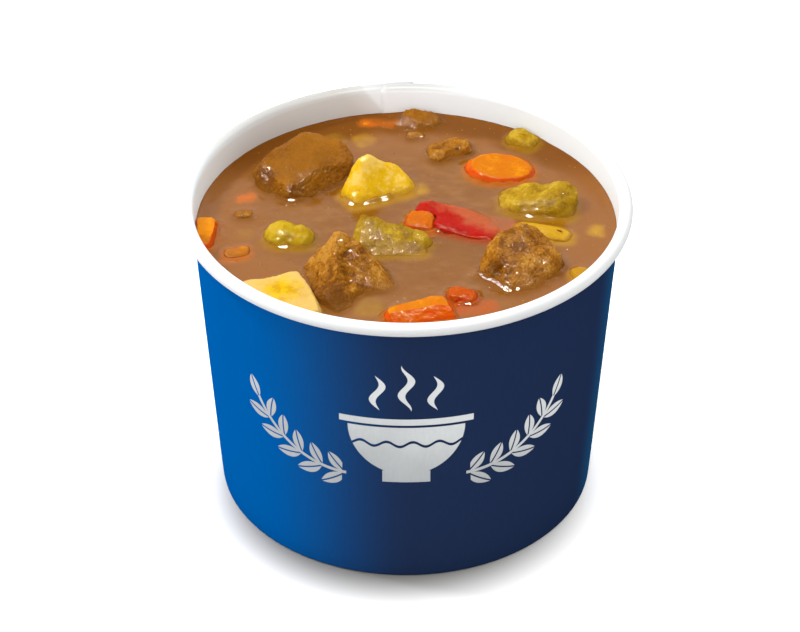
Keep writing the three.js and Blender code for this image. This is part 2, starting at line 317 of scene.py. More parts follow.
def carve(piece, steps, wet=0.35, flats=1.0, tones=()):
    """Cuts a food's relief, fainter in the broth and on flat tops, and keeps its height.

    Each step is (depth, size, turn), coarse to fine. Where the relief rises the stored tone
    is lighter and where it sinks darker: painted light on ridges, painted shade in hollows.
    Each tone is (place, reach, amount), and makes the food lighter or darker there: most
    paint light on tops and shade in low pockets and front faces, a few only shift a colour."""
    before, normals = points(piece), points(piece, "normal")
    above = (before[:, 2] - LEVEL) / MM
    weight = wet + (1 - wet) * smooth_step(above, 0.2, 2.5)
    weight *= flats + (1 - flats) * smooth_step(1 - normals[:, 2], 0.05, 0.4)
    group = weigh(piece, "Dry", weight)
    for step in steps:
        relief(piece, *step, group=group)
    raised = ((points(piece) - before) * normals).sum(axis=1)
    spread = max(1e-9, float(np.std(raised)))
    # Painted light and shade: raised relief is stored lighter and hollows darker.
    tone = 0.5 + raised / spread / 5
    for at, reach, amount in tones:
        gap = np.linalg.norm(before - (np.array(at) * MM + (0, 0, LEVEL)), axis=1)
        tone += amount * np.exp(-(gap / (reach * MM)) ** 2)
    store(piece, "Relief", np.clip(tone, -0.5, 1.5))
    piece.vertex_groups.clear()


def pull(at, by, reach):
    """A step that draws the surface near a place along; in mm, heights from the broth."""
    def step(piece):
        places = points(piece)
        centre = np.array(at) * MM + (0, 0, LEVEL)
        gap = np.linalg.norm(places - centre, axis=1) / (reach * MM)
        move_points(piece, places + np.exp(-gap ** 2)[:, None] * np.array(by) * MM)
    return step


def shave(facing, off, soft=0.12):
    """A step that flattens the side that faces this way, taking so many millimetres off."""
    def step(piece):
        places = points(piece)
        across = np.array(Vector(facing).normalized())
        out = places @ across
        over = out - (out[places[:, 2] > LEVEL].max() - off * MM)
        back = np.clip(over, 0, None) * (1 - soft)
        move_points(piece, places - back[:, None] * across)
    return step


def dress(piece, material, slot, *nodes):
    """Gives a finished piece its material and body, and hides the nodes it stands for. The slot
    is not used.
    """
    piece.data.name = piece.name
    if material:
        piece.data.materials.clear()
        piece.data.materials.append(material)
    only(piece)
    bpy.ops.object.shade_smooth()
    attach(piece, BODY)
    if nodes:
        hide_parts(*nodes)
    return piece


def join(pieces, name):
    """Joins pieces into one and names it."""
    only(*pieces)
    if len(pieces) > 1:
        bpy.ops.object.join()
    piece = bpy.context.object
    piece.name = name
    return piece


# ------------------------------------------------------------------ shader building


def operation(kind, swapped=False):
    """A method that adds a math node of this kind to a wire's tree."""
    def method(wire, other=0.0):
        return wire.tree.sum(kind, *((other, wire) if swapped else (wire, other)))
    return method


class Wire:
    """A node's output, which can be used in plain sums."""

    __add__, __radd__ = operation("ADD"), operation("ADD", True)
    __sub__, __rsub__ = operation("SUBTRACT"), operation("SUBTRACT", True)
    __mul__, __rmul__ = operation("MULTIPLY"), operation("MULTIPLY", True)
    __truediv__, __mod__, __abs__ = (
        operation("DIVIDE"), operation("MODULO"), operation("ABSOLUTE"))

    def __init__(self, tree, socket):
        self.tree, self.socket = tree, socket


class Tree:
    """Adds nodes and links to a node tree."""

    def __init__(self, tree):
        self.tree = tree

    def add(self, kind, inputs=(), **values):
        """Adds a node; inputs are (socket, value or the wire that feeds it)."""
        node = self.tree.nodes.new(kind)
        for key, value in values.items():
            setattr(node, key, value)
        for key, value in inputs:
            self.feed(node.inputs[key], value)
        return node

    def get(self, kind, *inputs, output=0, **values):
        """The wire from an output of a new node."""
        return Wire(self, self.add(kind, inputs, **values).outputs[output])

    def wires(self, node):
        """A node's outputs by name."""
        return {socket.name: Wire(self, socket) for socket in node.outputs if socket.name}

    def feed(self, socket, value):
        """Links a wire to a socket, or sets the socket's value."""
        if isinstance(value, Wire):
            self.tree.links.new(value.socket, socket)
        else:
            socket.default_value = value

    def set(self, node, **values):
        """Feeds or sets a node's inputs, named with _ for a space."""
        for key, value in values.items():
            self.feed(node.inputs[key.replace("_", " ")], value)

    def sum(self, kind, first, second=0.0):
        """The result of a math node."""
        return self.get("ShaderNodeMath", (0, first), (1, second), operation=kind)

    def least(self, first, *others):
        """The smallest of some values."""
        for other in others:
            first = self.sum("MINIMUM", first, other)
        return first

    def most(self, first, *others):
        """The largest of some values."""
        for other in others:
            first = self.sum("MAXIMUM", first, other)
        return first

    def span(self, value, low, high, start=0.0, end=1.0, kind="LINEAR"):
        """Turns one range of values into another."""
        return self.get(
            "ShaderNodeMapRange", (0, value), (1, low), (2, high), (3, start), (4, end),
            interpolation_type=kind)

    def step(self, *values):
        """A smooth step between two values."""
        return self.span(*values, kind="SMOOTHSTEP")

    def mix(self, factor, first, second):
        """A mix of two colours."""
        return self.get("ShaderNodeMix", (0, factor), (6, first), (7, second), output=2,
                        data_type="RGBA")

    def vector(self, kind, first, second=(0, 0, 0), output="Vector"):
        """The result of a vector math node."""
        return self.get("ShaderNodeVectorMath", (0, first), (1, second), output=output,
                        operation=kind)

    def place(self, scale=(1, 1, 1), turn=(0, 0, 0)):
        """Object coordinates in millimetres, turned and stretched."""
        where = self.get("ShaderNodeTexCoord", output="Object")
        size = [1000 / value for value in scale]
        angles = [math.radians(angle) for angle in turn]
        return self.get("ShaderNodeMapping", (0, where), (2, angles), (3, size))

    def axes(self, where):
        """The three parts of a vector."""
        return list(self.wires(self.add("ShaderNodeSeparateXYZ", ((0, where),))).values())

    def lean(self):
        """How level the surface lies: 1 where it faces up, 0 where it is upright."""
        return self.axes(self.get("ShaderNodeTexCoord", output="Normal"))[2]

    def off_axis(self, where):
        """How far a place is from the cup's axis."""
        return self.vector("LENGTH", self.vector("MULTIPLY", where, (1, 1, 0)), output="Value")

    def distance(self, where, centre):
        """How far a place is from a centre."""
        return self.vector("DISTANCE", where, centre, output="Value")

    def noise(self, where, scale=1.0, detail=3.0, roughness=0.55):
        """Noise about 0.5 with features of about the scale's inverse."""
        return self.get("ShaderNodeTexNoise", (0, where), (2, scale), (3, detail),
                        (4, roughness))

    def wander(self, where, scale, detail, width):
        """Noise about 0 that is this wide."""
        return (self.noise(where, scale, detail) - 0.5) * width

    def cells(self, where, scale=1.0):
        """Distance from the centres of scattered cells."""
        return self.get("ShaderNodeTexVoronoi", (0, where), (2, scale))

    def stored(self, name):
        """A number stored on the mesh."""
        return self.get("ShaderNodeAttribute", output="Fac", attribute_name=name)


def grey(value):
    """An even grey."""
    return (value, value, value, 1)


def group(name, inputs, fill):
    """A shader node group with named sockets; a colour input has a tuple as its default."""
    tree = bpy.data.node_groups.new(name, "ShaderNodeTree")
    build = Tree(tree)

    def socket(label, way, is_colour):
        """A new socket of the group."""
        return tree.interface.new_socket(
            label, in_out=way, socket_type="NodeSocketColor" if is_colour else "NodeSocketFloat")

    for label, default in inputs.items():
        socket(label, "INPUT", isinstance(default, tuple)).default_value = default
    results = fill(build, build.wires(tree.nodes.new("NodeGroupInput")))
    for label in results:
        socket(label, "OUTPUT", label == "Colour")
    sink = tree.nodes.new("NodeGroupOutput")
    build.set(sink, **results)
    return tree


def food_mottle(t, source):
    """Three tones spread by slow noise and by the stored tone, which paints light on raised
    relief and shade in hollows.
    """
    slow = t.noise(t.place(), source["Patches"], 3)
    fine = t.noise(t.place(), source["Specks"], 2, 0.6)
    share = source["Relief share"]
    height = t.stored("Relief") * share + slow * 0.75
    height = height + (fine - 0.5) * 0.5 - (share - 0.25) * 0.5
    tone = t.mix(t.step(height, 0.26, 0.5), source["Dark"], source["Main"])
    return {"Colour": t.mix(t.step(height, 0.52, 0.78), tone, source["Light"])}


def broth_film(t, source):
    """How much broth clings to a piece, thick at the waterline and thin above it."""
    where = t.place()
    above = t.axes(where)[2] - LEVEL / MM + t.wander(where, 0.35, 3, 1.5)
    cling = t.step(above / source["Reach"], 0.05, 1.0, 1.0, 0.0)
    film = t.most(cling, source["Least"])
    tone = t.mix(film * source["Strength"], source["Colour"], source["Broth"])
    return {"Colour": tone, "Film": film}


def fine_grain(t, source):
    """Fine height for the bump: grain, with small pits."""
    where = t.place()
    pits = t.step(t.cells(where, source["Pits"]), 0.0, 0.35)
    return {"Height": t.noise(where, source["Grain"], 4, 0.6) + pits * source["Pit depth"]}


def wet_gloss(t, source):
    """Roughness and coat that change from drier patches to a wet film."""
    wet = t.most(t.step(t.noise(t.place(), 0.5, 3), 0.3, 0.62), source["Film"])
    coat = wet * t.step(t.lean(), 0.84, 0.96, 1.0, 0.3)
    return {"Roughness": t.span(wet, 0.0, 1.0, 0.35, 0.1), "Coat": coat * source["Coat most"]}


# The inputs of each shader group, with their defaults.
GROUPS = {
    food_mottle: {"Dark": grey(0.5), "Main": grey(0.5), "Light": grey(0.5), "Patches": 0.3,
                  "Specks": 2.0, "Relief share": 0.5},
    broth_film: {"Colour": grey(0.5), "Broth": grey(0.5), "Reach": 2.5, "Least": 0.0,
                 "Strength": 0.7},
    fine_grain: {"Grain": 3.0, "Pits": 0.6, "Pit depth": 0.3},
    wet_gloss: {"Film": 0.0, "Coat most": 0.8},
}


def use(tree, fill, **inputs):
    """Places a shader group in a material and gives its outputs by name."""
    label = fill.__name__.replace("_", " ").capitalize()
    node_tree = bpy.data.node_groups.get(label) or group(label, GROUPS[fill], fill)
    node = tree.add("ShaderNodeGroup", node_tree=node_tree)
    tree.set(node, **inputs)
    return tree.wires(node)


def material(name):
    """A new material with its tree builder and its Principled shader."""
    made = bpy.data.materials.new(name)
    made.use_nodes = True
    return made, Tree(made.node_tree), made.node_tree.nodes["Principled BSDF"]


def bump(tree, shader, height, strength, distance, into="Normal"):
    """Feeds a height through a Bump node to the shader; the distance is in mm."""
    tree.feed(shader.inputs[into], tree.get(
        "ShaderNodeBump", ("Strength", strength), ("Distance", distance * MM),
        ("Height", height)))


def food_material(name, dark, main, light, patches=0.3, specks=2.0, relief_share=0.5,
                  reach=2.5, least=0.0, film=0.7, grain=3.0, pits=0.6, pit_depth=0.3,
                  bump_depth=0.12, coat=0.32, soft=0.15, glow=(1.0, 0.5, 0.2), tint=None,
                  dabs=1.0, dab_depth=0.16, dotted=1.0):
    """A cooked food's material: mottled tones, broth film, fine grain and a wet gloss."""
    made, t, shader = material(name)
    tone = use(t, food_mottle, Dark=dark, Main=main, Light=light, Patches=patches,
               Specks=specks, Relief_share=relief_share)["Colour"]
    tone = tint(t, tone) if tint else tone
    coating = use(t, broth_film, Colour=tone, Broth=settings().broth_pale, Reach=reach,
                  Least=least, Strength=film)
    gloss = use(t, wet_gloss, Film=coating["Film"], Coat_most=coat)
    dots = t.step(t.noise(t.place(turn=(40, 20, 30)), 0.9 * dabs, 0.0), 0.53, 0.61,
                  1.0 - dotted, 1.0)
    t.set(shader, Base_Color=coating["Colour"], Roughness=gloss["Roughness"],
          Coat_Weight=gloss["Coat"] * dots, Coat_Roughness=0.04, Coat_IOR=1.33, IOR=1.38,
          Specular_IOR_Level=0.03, Subsurface_Weight=soft, Subsurface_Radius=glow,
          Subsurface_Scale=1.2 * MM)
    fine = use(t, fine_grain, Grain=grain, Pits=pits, Pit_depth=pit_depth)
    bump(t, shader, fine["Height"], 0.8, bump_depth)
    bump(t, shader, t.noise(t.place(), dabs, 0.0), 0.8, dab_depth, "Coat Normal")
    return made


# ------------------------------------------------------------------ studio


class SOUP_OT_studio(bpy.types.Operator):
    """Makes the floor, the world, the lights and the camera"""

    bl_idname = "soup.studio"
    bl_label = "Studio"

    def execute(self, context):
        self.floor()
        self.world(context.scene)
        self.lights()
        self.camera(context.scene)
        return {"FINISHED"}

    def floor(self):
        """A plain white table top that glows evenly to the camera, with a shadow painted round
        where the cup stands.
        """
        table = primitive("plane", "studio_floor", size=6)
        made, t, shader = material("Studio white")
        where, foot = t.place(), FOOT_RADIUS / MM
        # Painted shadow: the table darkens to grey round the cup's foot, reaching furthest in
        # front and to the left.
        away = t.least(
            t.step(t.distance(where, (-2.5, -10.5, 0.0)), foot - 13.0, foot + 8.0),
            t.step(t.vector("LENGTH", where, output="Value"), foot - 3.0, foot + 1.5))
        seen = t.get("ShaderNodeLightPath", output="Is Camera Ray")
        open_floor = t.mix(seen, grey(0.5), grey(0.95))
        t.set(shader, Base_Color=t.mix(away, grey(0.16), open_floor), Roughness=0.9,
              Emission_Strength=away * seen * 0.3, Emission_Color=grey(1),
              Specular_IOR_Level=0.1)
        table.data.materials.append(made)

    def world(self, scene):
        """Soft light from all round, mirrored most strongly from behind the cup."""
        world = bpy.data.worlds.new("Studio air")
        scene.world = world
        world.use_nodes = True
        world.node_tree.nodes.clear()
        t = Tree(world.node_tree)
        side, behind, above = t.axes(t.get("ShaderNodeTexCoord", output="Generated"))
        mirrored = t.step(behind, 0.0, 0.55) * t.step(above, 0.1, 0.4) * 1.25 + 0.25
        gloss = t.get("ShaderNodeLightPath", output="Is Glossy Ray")
        strength = t.get("ShaderNodeMix", (0, gloss), (2, side * -0.35 + 1.48), (3, mirrored),
                         data_type="FLOAT")
        shine = t.get("ShaderNodeBackground", ("Color", grey(1)), ("Strength", strength))
        t.set(t.add("ShaderNodeOutputWorld"), Surface=shine)
        scene.view_settings.view_transform = "Standard"

    def lights(self):
        """A soft box at the left, and a strip overhead that only wet edges mirror."""
        s = settings()
        key = self.lamp("Key", (0.11, 0.13), s.key_power, (-0.655, 0.13, 0.74))
        key.rotation_euler = (UP * LEVEL - key.location).to_track_quat("-Z", "Y").to_euler()
        strip = self.lamp("Glints", (1.5, 0.06), s.glint_power, (-0.25, -0.33, 1.0))
        strip.data.color = (1.0, 0.88, 0.66)
        strip.visible_diffuse = False
        strip.visible_camera = False

    def lamp(self, name, size, power, offset):
        """An area lamp at an offset from the middle of the broth."""
        bulb = bpy.data.lights.new(name, "AREA")
        bulb.shape = "RECTANGLE"
        bulb.size, bulb.size_y = size
        bulb.energy = power
        lamp = linked(name, bulb)
        lamp.location = Vector(offset) + UP * LEVEL
        return lamp

    def camera(self, scene):
        """The camera at its elevation and distance, aimed near the cup's middle."""
        s = settings()
        e = s.camera_elevation
        back = Vector((0, -math.cos(e), math.sin(e)))
        up = Vector((0, math.sin(e), math.cos(e)))
        aim = UP * CUP_HEIGHT / 2 - Vector((1.447 * MM, 0, 0)) + up * 3.805 * MM
        lens = bpy.data.cameras.new("Camera")
        lens.lens, lens.sensor_width = 144, 36
        lens.clip_start, lens.clip_end = 0.05, 20
        scene.camera = linked("Camera", lens)
        scene.camera.location = aim + back * s.camera_distance
        scene.camera.rotation_euler = (math.pi / 2 - e, 0, 0)


# ------------------------------------------------------------------ cup


LAP_AT = 97.0
LAP_DEGREES = 9.0
SLEEVE_STEPS = 205


def wall_radius(height):
    """Radius of the sleeve's printed side at a height."""
    return FOOT_RADIUS + (RIM_RADIUS - 2.9 * MM - FOOT_RADIUS) * height / (75.3 * MM)


def sleeve_profile():
    """The printed side of the sleeve: hem, fold, wall and rolled rim, as (radius, height)."""
    s = settings()
    fold = 0.75 * MM
    hem = FOOT_RADIUS - 2 * fold
    line = [(hem + 0.066 * height * MM, height * MM) for height in (5.2, 3.6, 2.1)]
    for step in range(9):
        angle = math.pi + math.pi * step / 8
        line.append((FOOT_RADIUS - fold + fold * math.cos(angle),
                     fold + fold * math.sin(angle)))
    centre = (RIM_RADIUS - s.roll_radius, CUP_HEIGHT - s.roll_radius)
    for step in range(1, 19):
        height = fold + (centre[1] - fold) * step / 18
        line.append((wall_radius(height), height))
    for step in range(1, 27):
        angle = math.pi - math.radians(326) * step / 26
        radius = s.roll_radius - s.board - 0.32 * MM * smooth_part(step / 26)
        line.append((centre[0] + radius * math.cos(angle),
                     centre[1] + radius * math.sin(angle)))
    return line


def smooth_part(part):
    """A smooth step from 0 to 1."""
    part = min(max(part, 0.0), 1.0)
    return part * part * (3 - 2 * part)


def leaf(t, along, aside, centre, turn, half, width):
    """How far inside a pointed leaf with a bare midrib a place lies, in mm."""
    c, s = math.cos(math.radians(turn)), math.sin(math.radians(turn))
    along, aside = along - centre[0], aside - centre[1]
    down, out = along * c + aside * s, abs(aside * c - along * s)
    return t.least(width - down * down * (width / half ** 2) - out, out - 0.2)


def sprig(t, out, height):
    """How far inside a leafy sprig that bends up and outwards a place lies, in mm."""
    bend, length_of_stem, pitch = 27.0, 28.0, 5.6
    over, up = out - 14.0, 58.0 - height
    along = t.sum("ARCTAN2", over, up) * bend
    aside = t.sum("SQRT", over * over + up * up) - bend
    beside = abs(aside)
    leaves = t.least(leaf(t, along % pitch, beside, (2.85, 2.55), 43, 3.4, 1.5),
                     along - 1.0, length_of_stem - along)
    stem = t.least(0.42 - beside, along, length_of_stem + 0.6 - along)
    return t.most(leaves, stem, leaf(t, along, aside, (31.4, 0.0), 0, 3.2, 1.5))


def steaming_bowl(t, side, out, height):
    """How far inside a bowl with three curls of steam a place lies, in mm."""
    def bar(low, high, wide):
        """A level bar between two heights."""
        return t.least(height - low, high - height, wide - out)

    brim = 46.0
    wide, deep = out / 13.5, (brim - height) / 14.0
    bowl = (1.0 - t.sum("SQRT", wide * wide + deep * deep)) * 12.0
    wave = t.sum("SINE", side * 1.05) * 0.7
    bowl = t.least(bowl, brim - height, abs(height - 41.0 - wave) - 0.4)
    inside = t.most(bowl, bar(46.7, 48.5, 15.5), bar(29.6, 33.0, 5.5))
    for centre, middle, half in ((-6.6, 56.0, 5.0), (0.0, 57.6, 6.6), (6.6, 56.0, 5.0)):
        rise = height - middle
        sway = t.sum("SINE", rise * 0.72) * 1.1
        bow = rise * rise * (0.95 / half ** 2)
        inside = t.most(inside, 0.95 - bow - abs(side - centre - sway))
    return inside


def from_front(t, where):
    """The angle from the cup's front towards its right, in radians, and the height."""
    x, y, z = t.axes(where)
    return t.sum("ARCTAN2", x, y * -1.0), z


def print_material():
    """Royal blue print, painted with shade that turns it navy at the front and right, and with a
    brighter highlight band near the right edge.
    """
    s = settings()
    made, t, shader = material("Cup print")
    where = t.place()
    angle, height = from_front(t, where)
    degrees = angle * (180 / math.pi) + t.wander(where, 0.03, 1, 3.0)
    # Painted shade: the print turns navy across the front and the right, fading back to royal
    # blue behind.
    navy = t.step(degrees, -46.0, 2.0) * t.step(degrees, 120.0, 176.0, 1.0, 0.0)
    # Painted highlight: a band of brighter blue near the right edge.
    edge = t.step(degrees, 63.0, 79.0) * t.step(degrees, 92.0, 120.0, 1.0, 0.0)
    ink = t.mix(edge, t.mix(navy, s.print_light, s.print_dark), s.print_edge)
    side = angle * t.off_axis(where)
    out = abs(side)
    motif = t.most(sprig(t, out, height), steaming_bowl(t, side, out, height))
    sheen = side * 0.35 + height + t.noise(where, 0.07, 2) * 16.0
    silver = t.mix(t.step(sheen, 34.0, 66.0), s.silver_dark, s.silver)
    ink = t.mix(t.step(motif, -0.06, 0.06), ink, silver)
    fibres = t.noise(t.place((0.6, 0.6, 2.4)), 1.0, 4, 0.6)
    ink = t.get("ShaderNodeHueSaturation", ("Value", t.span(fibres, 0.25, 0.75, 0.96, 1.04)),
                ("Color", ink))
    t.set(shader, Base_Color=ink, Roughness=t.span(fibres, 0.2, 0.8, 0.36, 0.46),
          Specular_IOR_Level=0.0)
    bump(t, shader, t.noise(t.place((9, 9, 26)), 1.0, 2) * 3.0 + fibres * 0.12, 0.5, 0.08)
    return made


def shaded_paper(t, tone, across, rim):
    """Paper inside the cup and on its rim with painted light and shade: a lighter, cooler inner
    wall, shade on the right side and on top of the far rim, and a brown grey shadow from a
    slanted edge by the lap round to the left.
    """
    angle, height = from_front(t, t.place())
    degrees = angle * (180 / math.pi)
    # The painted shadow's edge slants as it climbs the wall.
    start = degrees - (height - (LEVEL / MM + 1.85)) * 0.85
    left_painted_shadow = t.step(degrees, -142.0, -70.0, 1.0, 0.0) * (
        t.step(start, -173.5, -171.5, 0.0, 0.45) + t.step(start, -176.0, -164.0, 0.0, 0.55))
    inner = t.step(across, rim - 0.8, rim - 0.05, 1.0, 0.0)
    top = t.step(t.lean(), 0.1, 0.8)
    # Painted light: the inner wall below the rim is lighter and cooler than the board.
    tone = t.mix(t.step(across, rim - 2.9, rim - 2.0, 1.0, 0.0), tone, (0.865, 0.95, 0.99, 1))
    # Painted shade on the right half of the paper, from the front round to the back.
    tone = t.mix(t.step(degrees, 10.0, 50.0, 0.0, 0.6), tone, (0.65, 0.66, 0.66, 1))
    # Painted shade on top of the far rim; below it the paper stays light and cool.
    far = t.step(abs(degrees), 145.0, 178.0) * inner
    tone = t.mix(far, tone, t.mix(top, (0.86, 0.905, 0.94, 1), (0.47, 0.475, 0.475, 1)))
    # Painted shadow, brown grey, on the left back wall and rim.
    brown = t.mix(top, (0.58, 0.555, 0.525, 1), (0.4, 0.385, 0.365, 1))
    return t.mix(left_painted_shadow * inner * 0.87, tone, brown)


def paper_material(name, tint, roughness, under=0.0):
    """White board with fibres that just show; under paints shade on the roll's outer side and,
    when set, the painted light and shade inside the cup.
    """
    made, t, shader = material(name)
    fibres = t.noise(t.place((0.5, 0.5, 1.6)), 1.0, 4, 0.65)
    cloudy = t.noise(t.place((7, 7, 12)), 1.0, 2)
    paler = (*(min(1.0, value * 1.03) for value in tint[:3]), 1)
    darker = (*(value * 0.965 for value in tint[:3]), 1)
    tone = t.mix((fibres + cloudy) * 0.5, darker, paler)
    across, rim = t.off_axis(t.place()), RIM_RADIUS / MM
    # Painted shade: the rolled rim's outer side darkens towards grey.
    tone = t.mix(t.step(across, rim - 2.2, rim, 0.0, under), tone, grey(0.3))
    if under:
        tone = shaded_paper(t, tone, across, rim)
    t.set(shader, Base_Color=tone, Specular_IOR_Level=0.08, Subsurface_Weight=0.12,
          Roughness=t.span(cloudy, 0.2, 0.8, roughness - 0.05, roughness + 0.08),
          Subsurface_Radius=(1.0, 0.95, 0.85), Subsurface_Scale=0.4 * MM)
    bump(t, shader, t.noise(t.place((6, 6, 20)), 1.0, 2) + fibres * 0.1, 0.4, 0.1)
    return made


class SOUP_OT_sleeve(bpy.types.Operator):
    """Makes the printed paper sleeve with its lap, hem and rolled rim"""

    bl_idname = "soup.sleeve"
    bl_label = "Paper sleeve"

    def execute(self, context):
        s = settings()
        rows = sleeve_profile()
        sleeve = turned("cup_sleeve", rows, 360 + LAP_DEGREES, SLEEVE_STEPS, LAP_AT)
        self.lift_lap(sleeve, len(rows))
        face_outwards(sleeve)
        wall = next(face for face in sleeve.data.polygons
                    if 30 * MM < face.center.z < 40 * MM)
        if wall.normal.dot(Vector((wall.center.x, wall.center.y, 0))) < 0:
            edit(sleeve, lambda: bpy.ops.mesh.flip_normals())
        for finish in (print_material(), paper_material("Cup white", s.paper, 0.38, 0.45)):
            sleeve.data.materials.append(finish)
        apply(sleeve, "SOLIDIFY", thickness=s.board, offset=-1.0, use_even_offset=True,
              material_offset=1, material_offset_rim=1)
        dress(sleeve, None, "cup_print", "cup_wall")
        return {"FINISHED"}

    def lift_lap(self, sleeve, rows):
        """Carries the sleeve's outer end over its inner end by one board."""
        places = points(sleeve)
        step = np.arange(len(places)) // rows
        turn = np.arctan2(places[:, 1], places[:, 0])
        swept = step / SLEEVE_STEPS * (360 + LAP_DEGREES)
        lift = smooth_step(swept, 360.2, 364.0) * (settings().board + 0.02 * MM)
        lift -= (1 - smooth_step(swept, 3.0, 9.0)) * 0.1 * MM
        height = np.clip(places[:, 2] / (4 * MM), 0.25, 1)
        places[:, 0] += np.cos(turn) * lift * height
        places[:, 1] += np.sin(turn) * lift * height
        move_points(sleeve, places)


class SOUP_OT_base(bpy.types.Operator):
    """Makes the cup's base: a board disc with its edge turned down into the hem"""

    bl_idname = "soup.base"
    bl_label = "Base disc"

    def execute(self, context):
        s = settings()
        edge = FOOT_RADIUS - s.board - 0.08 * MM
        dish = ((0, 0.35), (8, 0.34), (18, 0.3), (30, 0.16), (38, 0.04))
        bend = ((1.6, 0), (0.75, 0.12), (0.2, 0.5), (0, 1.1), (0.07, 2.6))
        profile = [(out * MM, BASE_TOP - drop * MM) for out, drop in dish]
        profile += [(edge - inset * MM, BASE_TOP - drop * MM) for inset, drop in bend]
        profile.append((edge - 0.18 * MM, 0.9 * MM))
        base = turned("cup_bottom", profile, 360, 128)
        face_outwards(base)
        crown = min(base.data.polygons, key=lambda face: face.center.xy.length)
        if crown.normal.z < 0:
            edit(base, lambda: bpy.ops.mesh.flip_normals())
        apply(base, "SOLIDIFY", thickness=0.42 * MM, offset=-1.0, use_even_offset=True)
        dress(base, paper_material("Raw board", s.raw_board, 0.75), "base_board", "cup_base")
        return {"FINISHED"}


# ------------------------------------------------------------------ food


class Recipe(NamedTuple):
    """How a food's fine mesh is made over its node's solid; lengths are in mm."""

    steps: tuple
    shape: tuple = ()
    tones: tuple = ()
    voxel: float = 0.22
    rounding: int = 3
    wet: float = 0.8
    flats: float = 1.0


# Beyond the relief, the recipes' tones mostly paint light on peaks and tops and shade in low
# pockets and front faces; a few only shift a piece's colour.
BEEF = {
    "beef_front": Recipe(
        ((0.7, 3.2), (0.5, (0.9, 0.9, 4), (20, -24, 0)), (0.34, (0.45, 0.45, 2.0), (20, -24, 0)),
         (0.26, 0.45)),
        (shave((-0.71, -0.33, 0.63), 1.5), shave((0.42, -0.45, 0.79), 1.5),
         pull((-15.9, -19.6, 9.5), (-0.2, 0.4, 1.1), 2.2),
         pull((-14.0, -23.5, 7.5), (0.2, 1.0, -1.4), 1.7),
         pull((-13.2, -27.5, 5.0), (0.2, 0.8, -1.2), 2.0),
         pull((-17.6, -33, 2.4), (-0.9, -0.6, 1.1), 2.6),
         pull((-20.5, -30.5, 1.5), (-2.4, -0.8, 0.5), 3.2),
         pull((-4.2, -26.5, 0.6), (0.6, -0.7, 0), 2.5),
         pull((-8.0, -32.5, 0.8), (-1.2, 2.6, -0.6), 3.0),
         pull((-24.0, -20.0, 0.8), (-0.9, 0.4, 0.3), 1.5)),
        (((-16, -19.5, 9.5), 3.4, 0.9), ((-21, -21.5, 5), 3.0, 0.4), ((-7, -24, 3.5), 3.2, 0.3),
         ((-13.8, -25.5, 6), 2.4, -0.4), ((-16.5, -34.5, 2), 4.6, -0.9)),
        rounding=2, wet=0.6),
    "beef_right": Recipe(
        ((0.6, 3.5), (0.4, 1.3), (0.4, 0.55), (0.26, 0.35)),
        (shave((0.5, 0.05, 0.86), 1.4), shave((0.12, -0.72, 0.68), 1.5),
         shave((-0.72, -0.3, 0.63), 1.5),
         pull((26.4, -15.6, 9.5), (-0.3, 0.5, 1.4), 2.0),
         pull((20.2, -24.6, 3.2), (0.9, 1.0, -1.0), 1.5),
         pull((16.2, -22.3, 0.8), (-1.3, -0.8, 0.2), 1.8)),
        (((19.5, -24.5, 3.0), 2.6, -0.9), ((30, -25, 3.5), 4.0, 0.3), ((24, -21, 6.5), 2.5, 0.1),
         ((33, -18, 6), 3.5, 0.1)),
        rounding=2, wet=0.6),
    "beef_back_left": Recipe(
        ((0.8, 4), (0.6, 1.4), (0.45, 0.6), (0.24, 0.35)),
        (shave((-0.16, -0.3, 0.94), 0.9), shave((-0.55, -0.75, 0.35), 0.8),
         shave((0.55, -0.65, 0.5), 0.7),
         pull((-17.3, 25.3, 6.5), (2.2, 1.4, 0.6), 3.4),
         pull((-14.8, 25.0, 1.5), (2.2, 1.3, -0.1), 2.8),
         pull((-36.6, 20.5, 1.2), (-1.6, 0.9, 0), 2.2),
         pull((-33.5, 15.0, 4.2), (0.4, 0.4, -1.0), 1.6),
         pull((-31.0, 11.8, 3.4), (-0.3, -0.4, 0.8), 1.3),
         pull((-27.5, 9.8, 2.5), (0, -0.6, 0.6), 1.5)),
        (((-18.5, 24, 8.5), 4.5, 0.9), ((-13.8, 25, 3), 2.4, 0.9), ((-33.8, 15, 3.5), 2.8, -0.9),
         ((-27, 10, 1.5), 3.0, -0.5), ((-37, 20.5, 1.5), 2.2, 0.5), ((-29, 12, 4), 2.0, 0.6)),
        voxel=0.24, rounding=4, wet=0.6, flats=0.25),
    "beef_back": Recipe(
        ((1.1, 2.6), (0.5, (0.9, 1.4, 1)), (0.25, 0.5)),
        (pull((7.0, 44.6, 1.0), (2.4, -0.4, -0.3), 2.4),
         pull((-0.5, 43.6, 0.8), (-1.2, -0.5, 0), 2.0), shave((-0.25, -0.7, 0.67), 1.2)),
        (((2.5, 47, 4), 3.0, 0.5),), voxel=0.24, rounding=4, flats=0.9),
    "beef_back_middle": Recipe(
        ((0.9, 3), (0.5, (1.1, 1.1, 1.5)), (0.25, 0.5)),
        (pull((7.7, 29.8, 0.3), (-0.3, -2.3, 0), 2.8), pull((6.4, 32.0, 0.6), (-1.0, 0, 0), 2)),
        rounding=2, wet=0.7, flats=0.8),
    "beef_bit_back": Recipe(((0.5, 1.6), (0.3, 0.6)), voxel=0.16, rounding=2, flats=0.8),
    "beef_bit_left": Recipe(((0.5, 1.6), (0.3, 0.6)), voxel=0.16, rounding=2, flats=0.8),
}
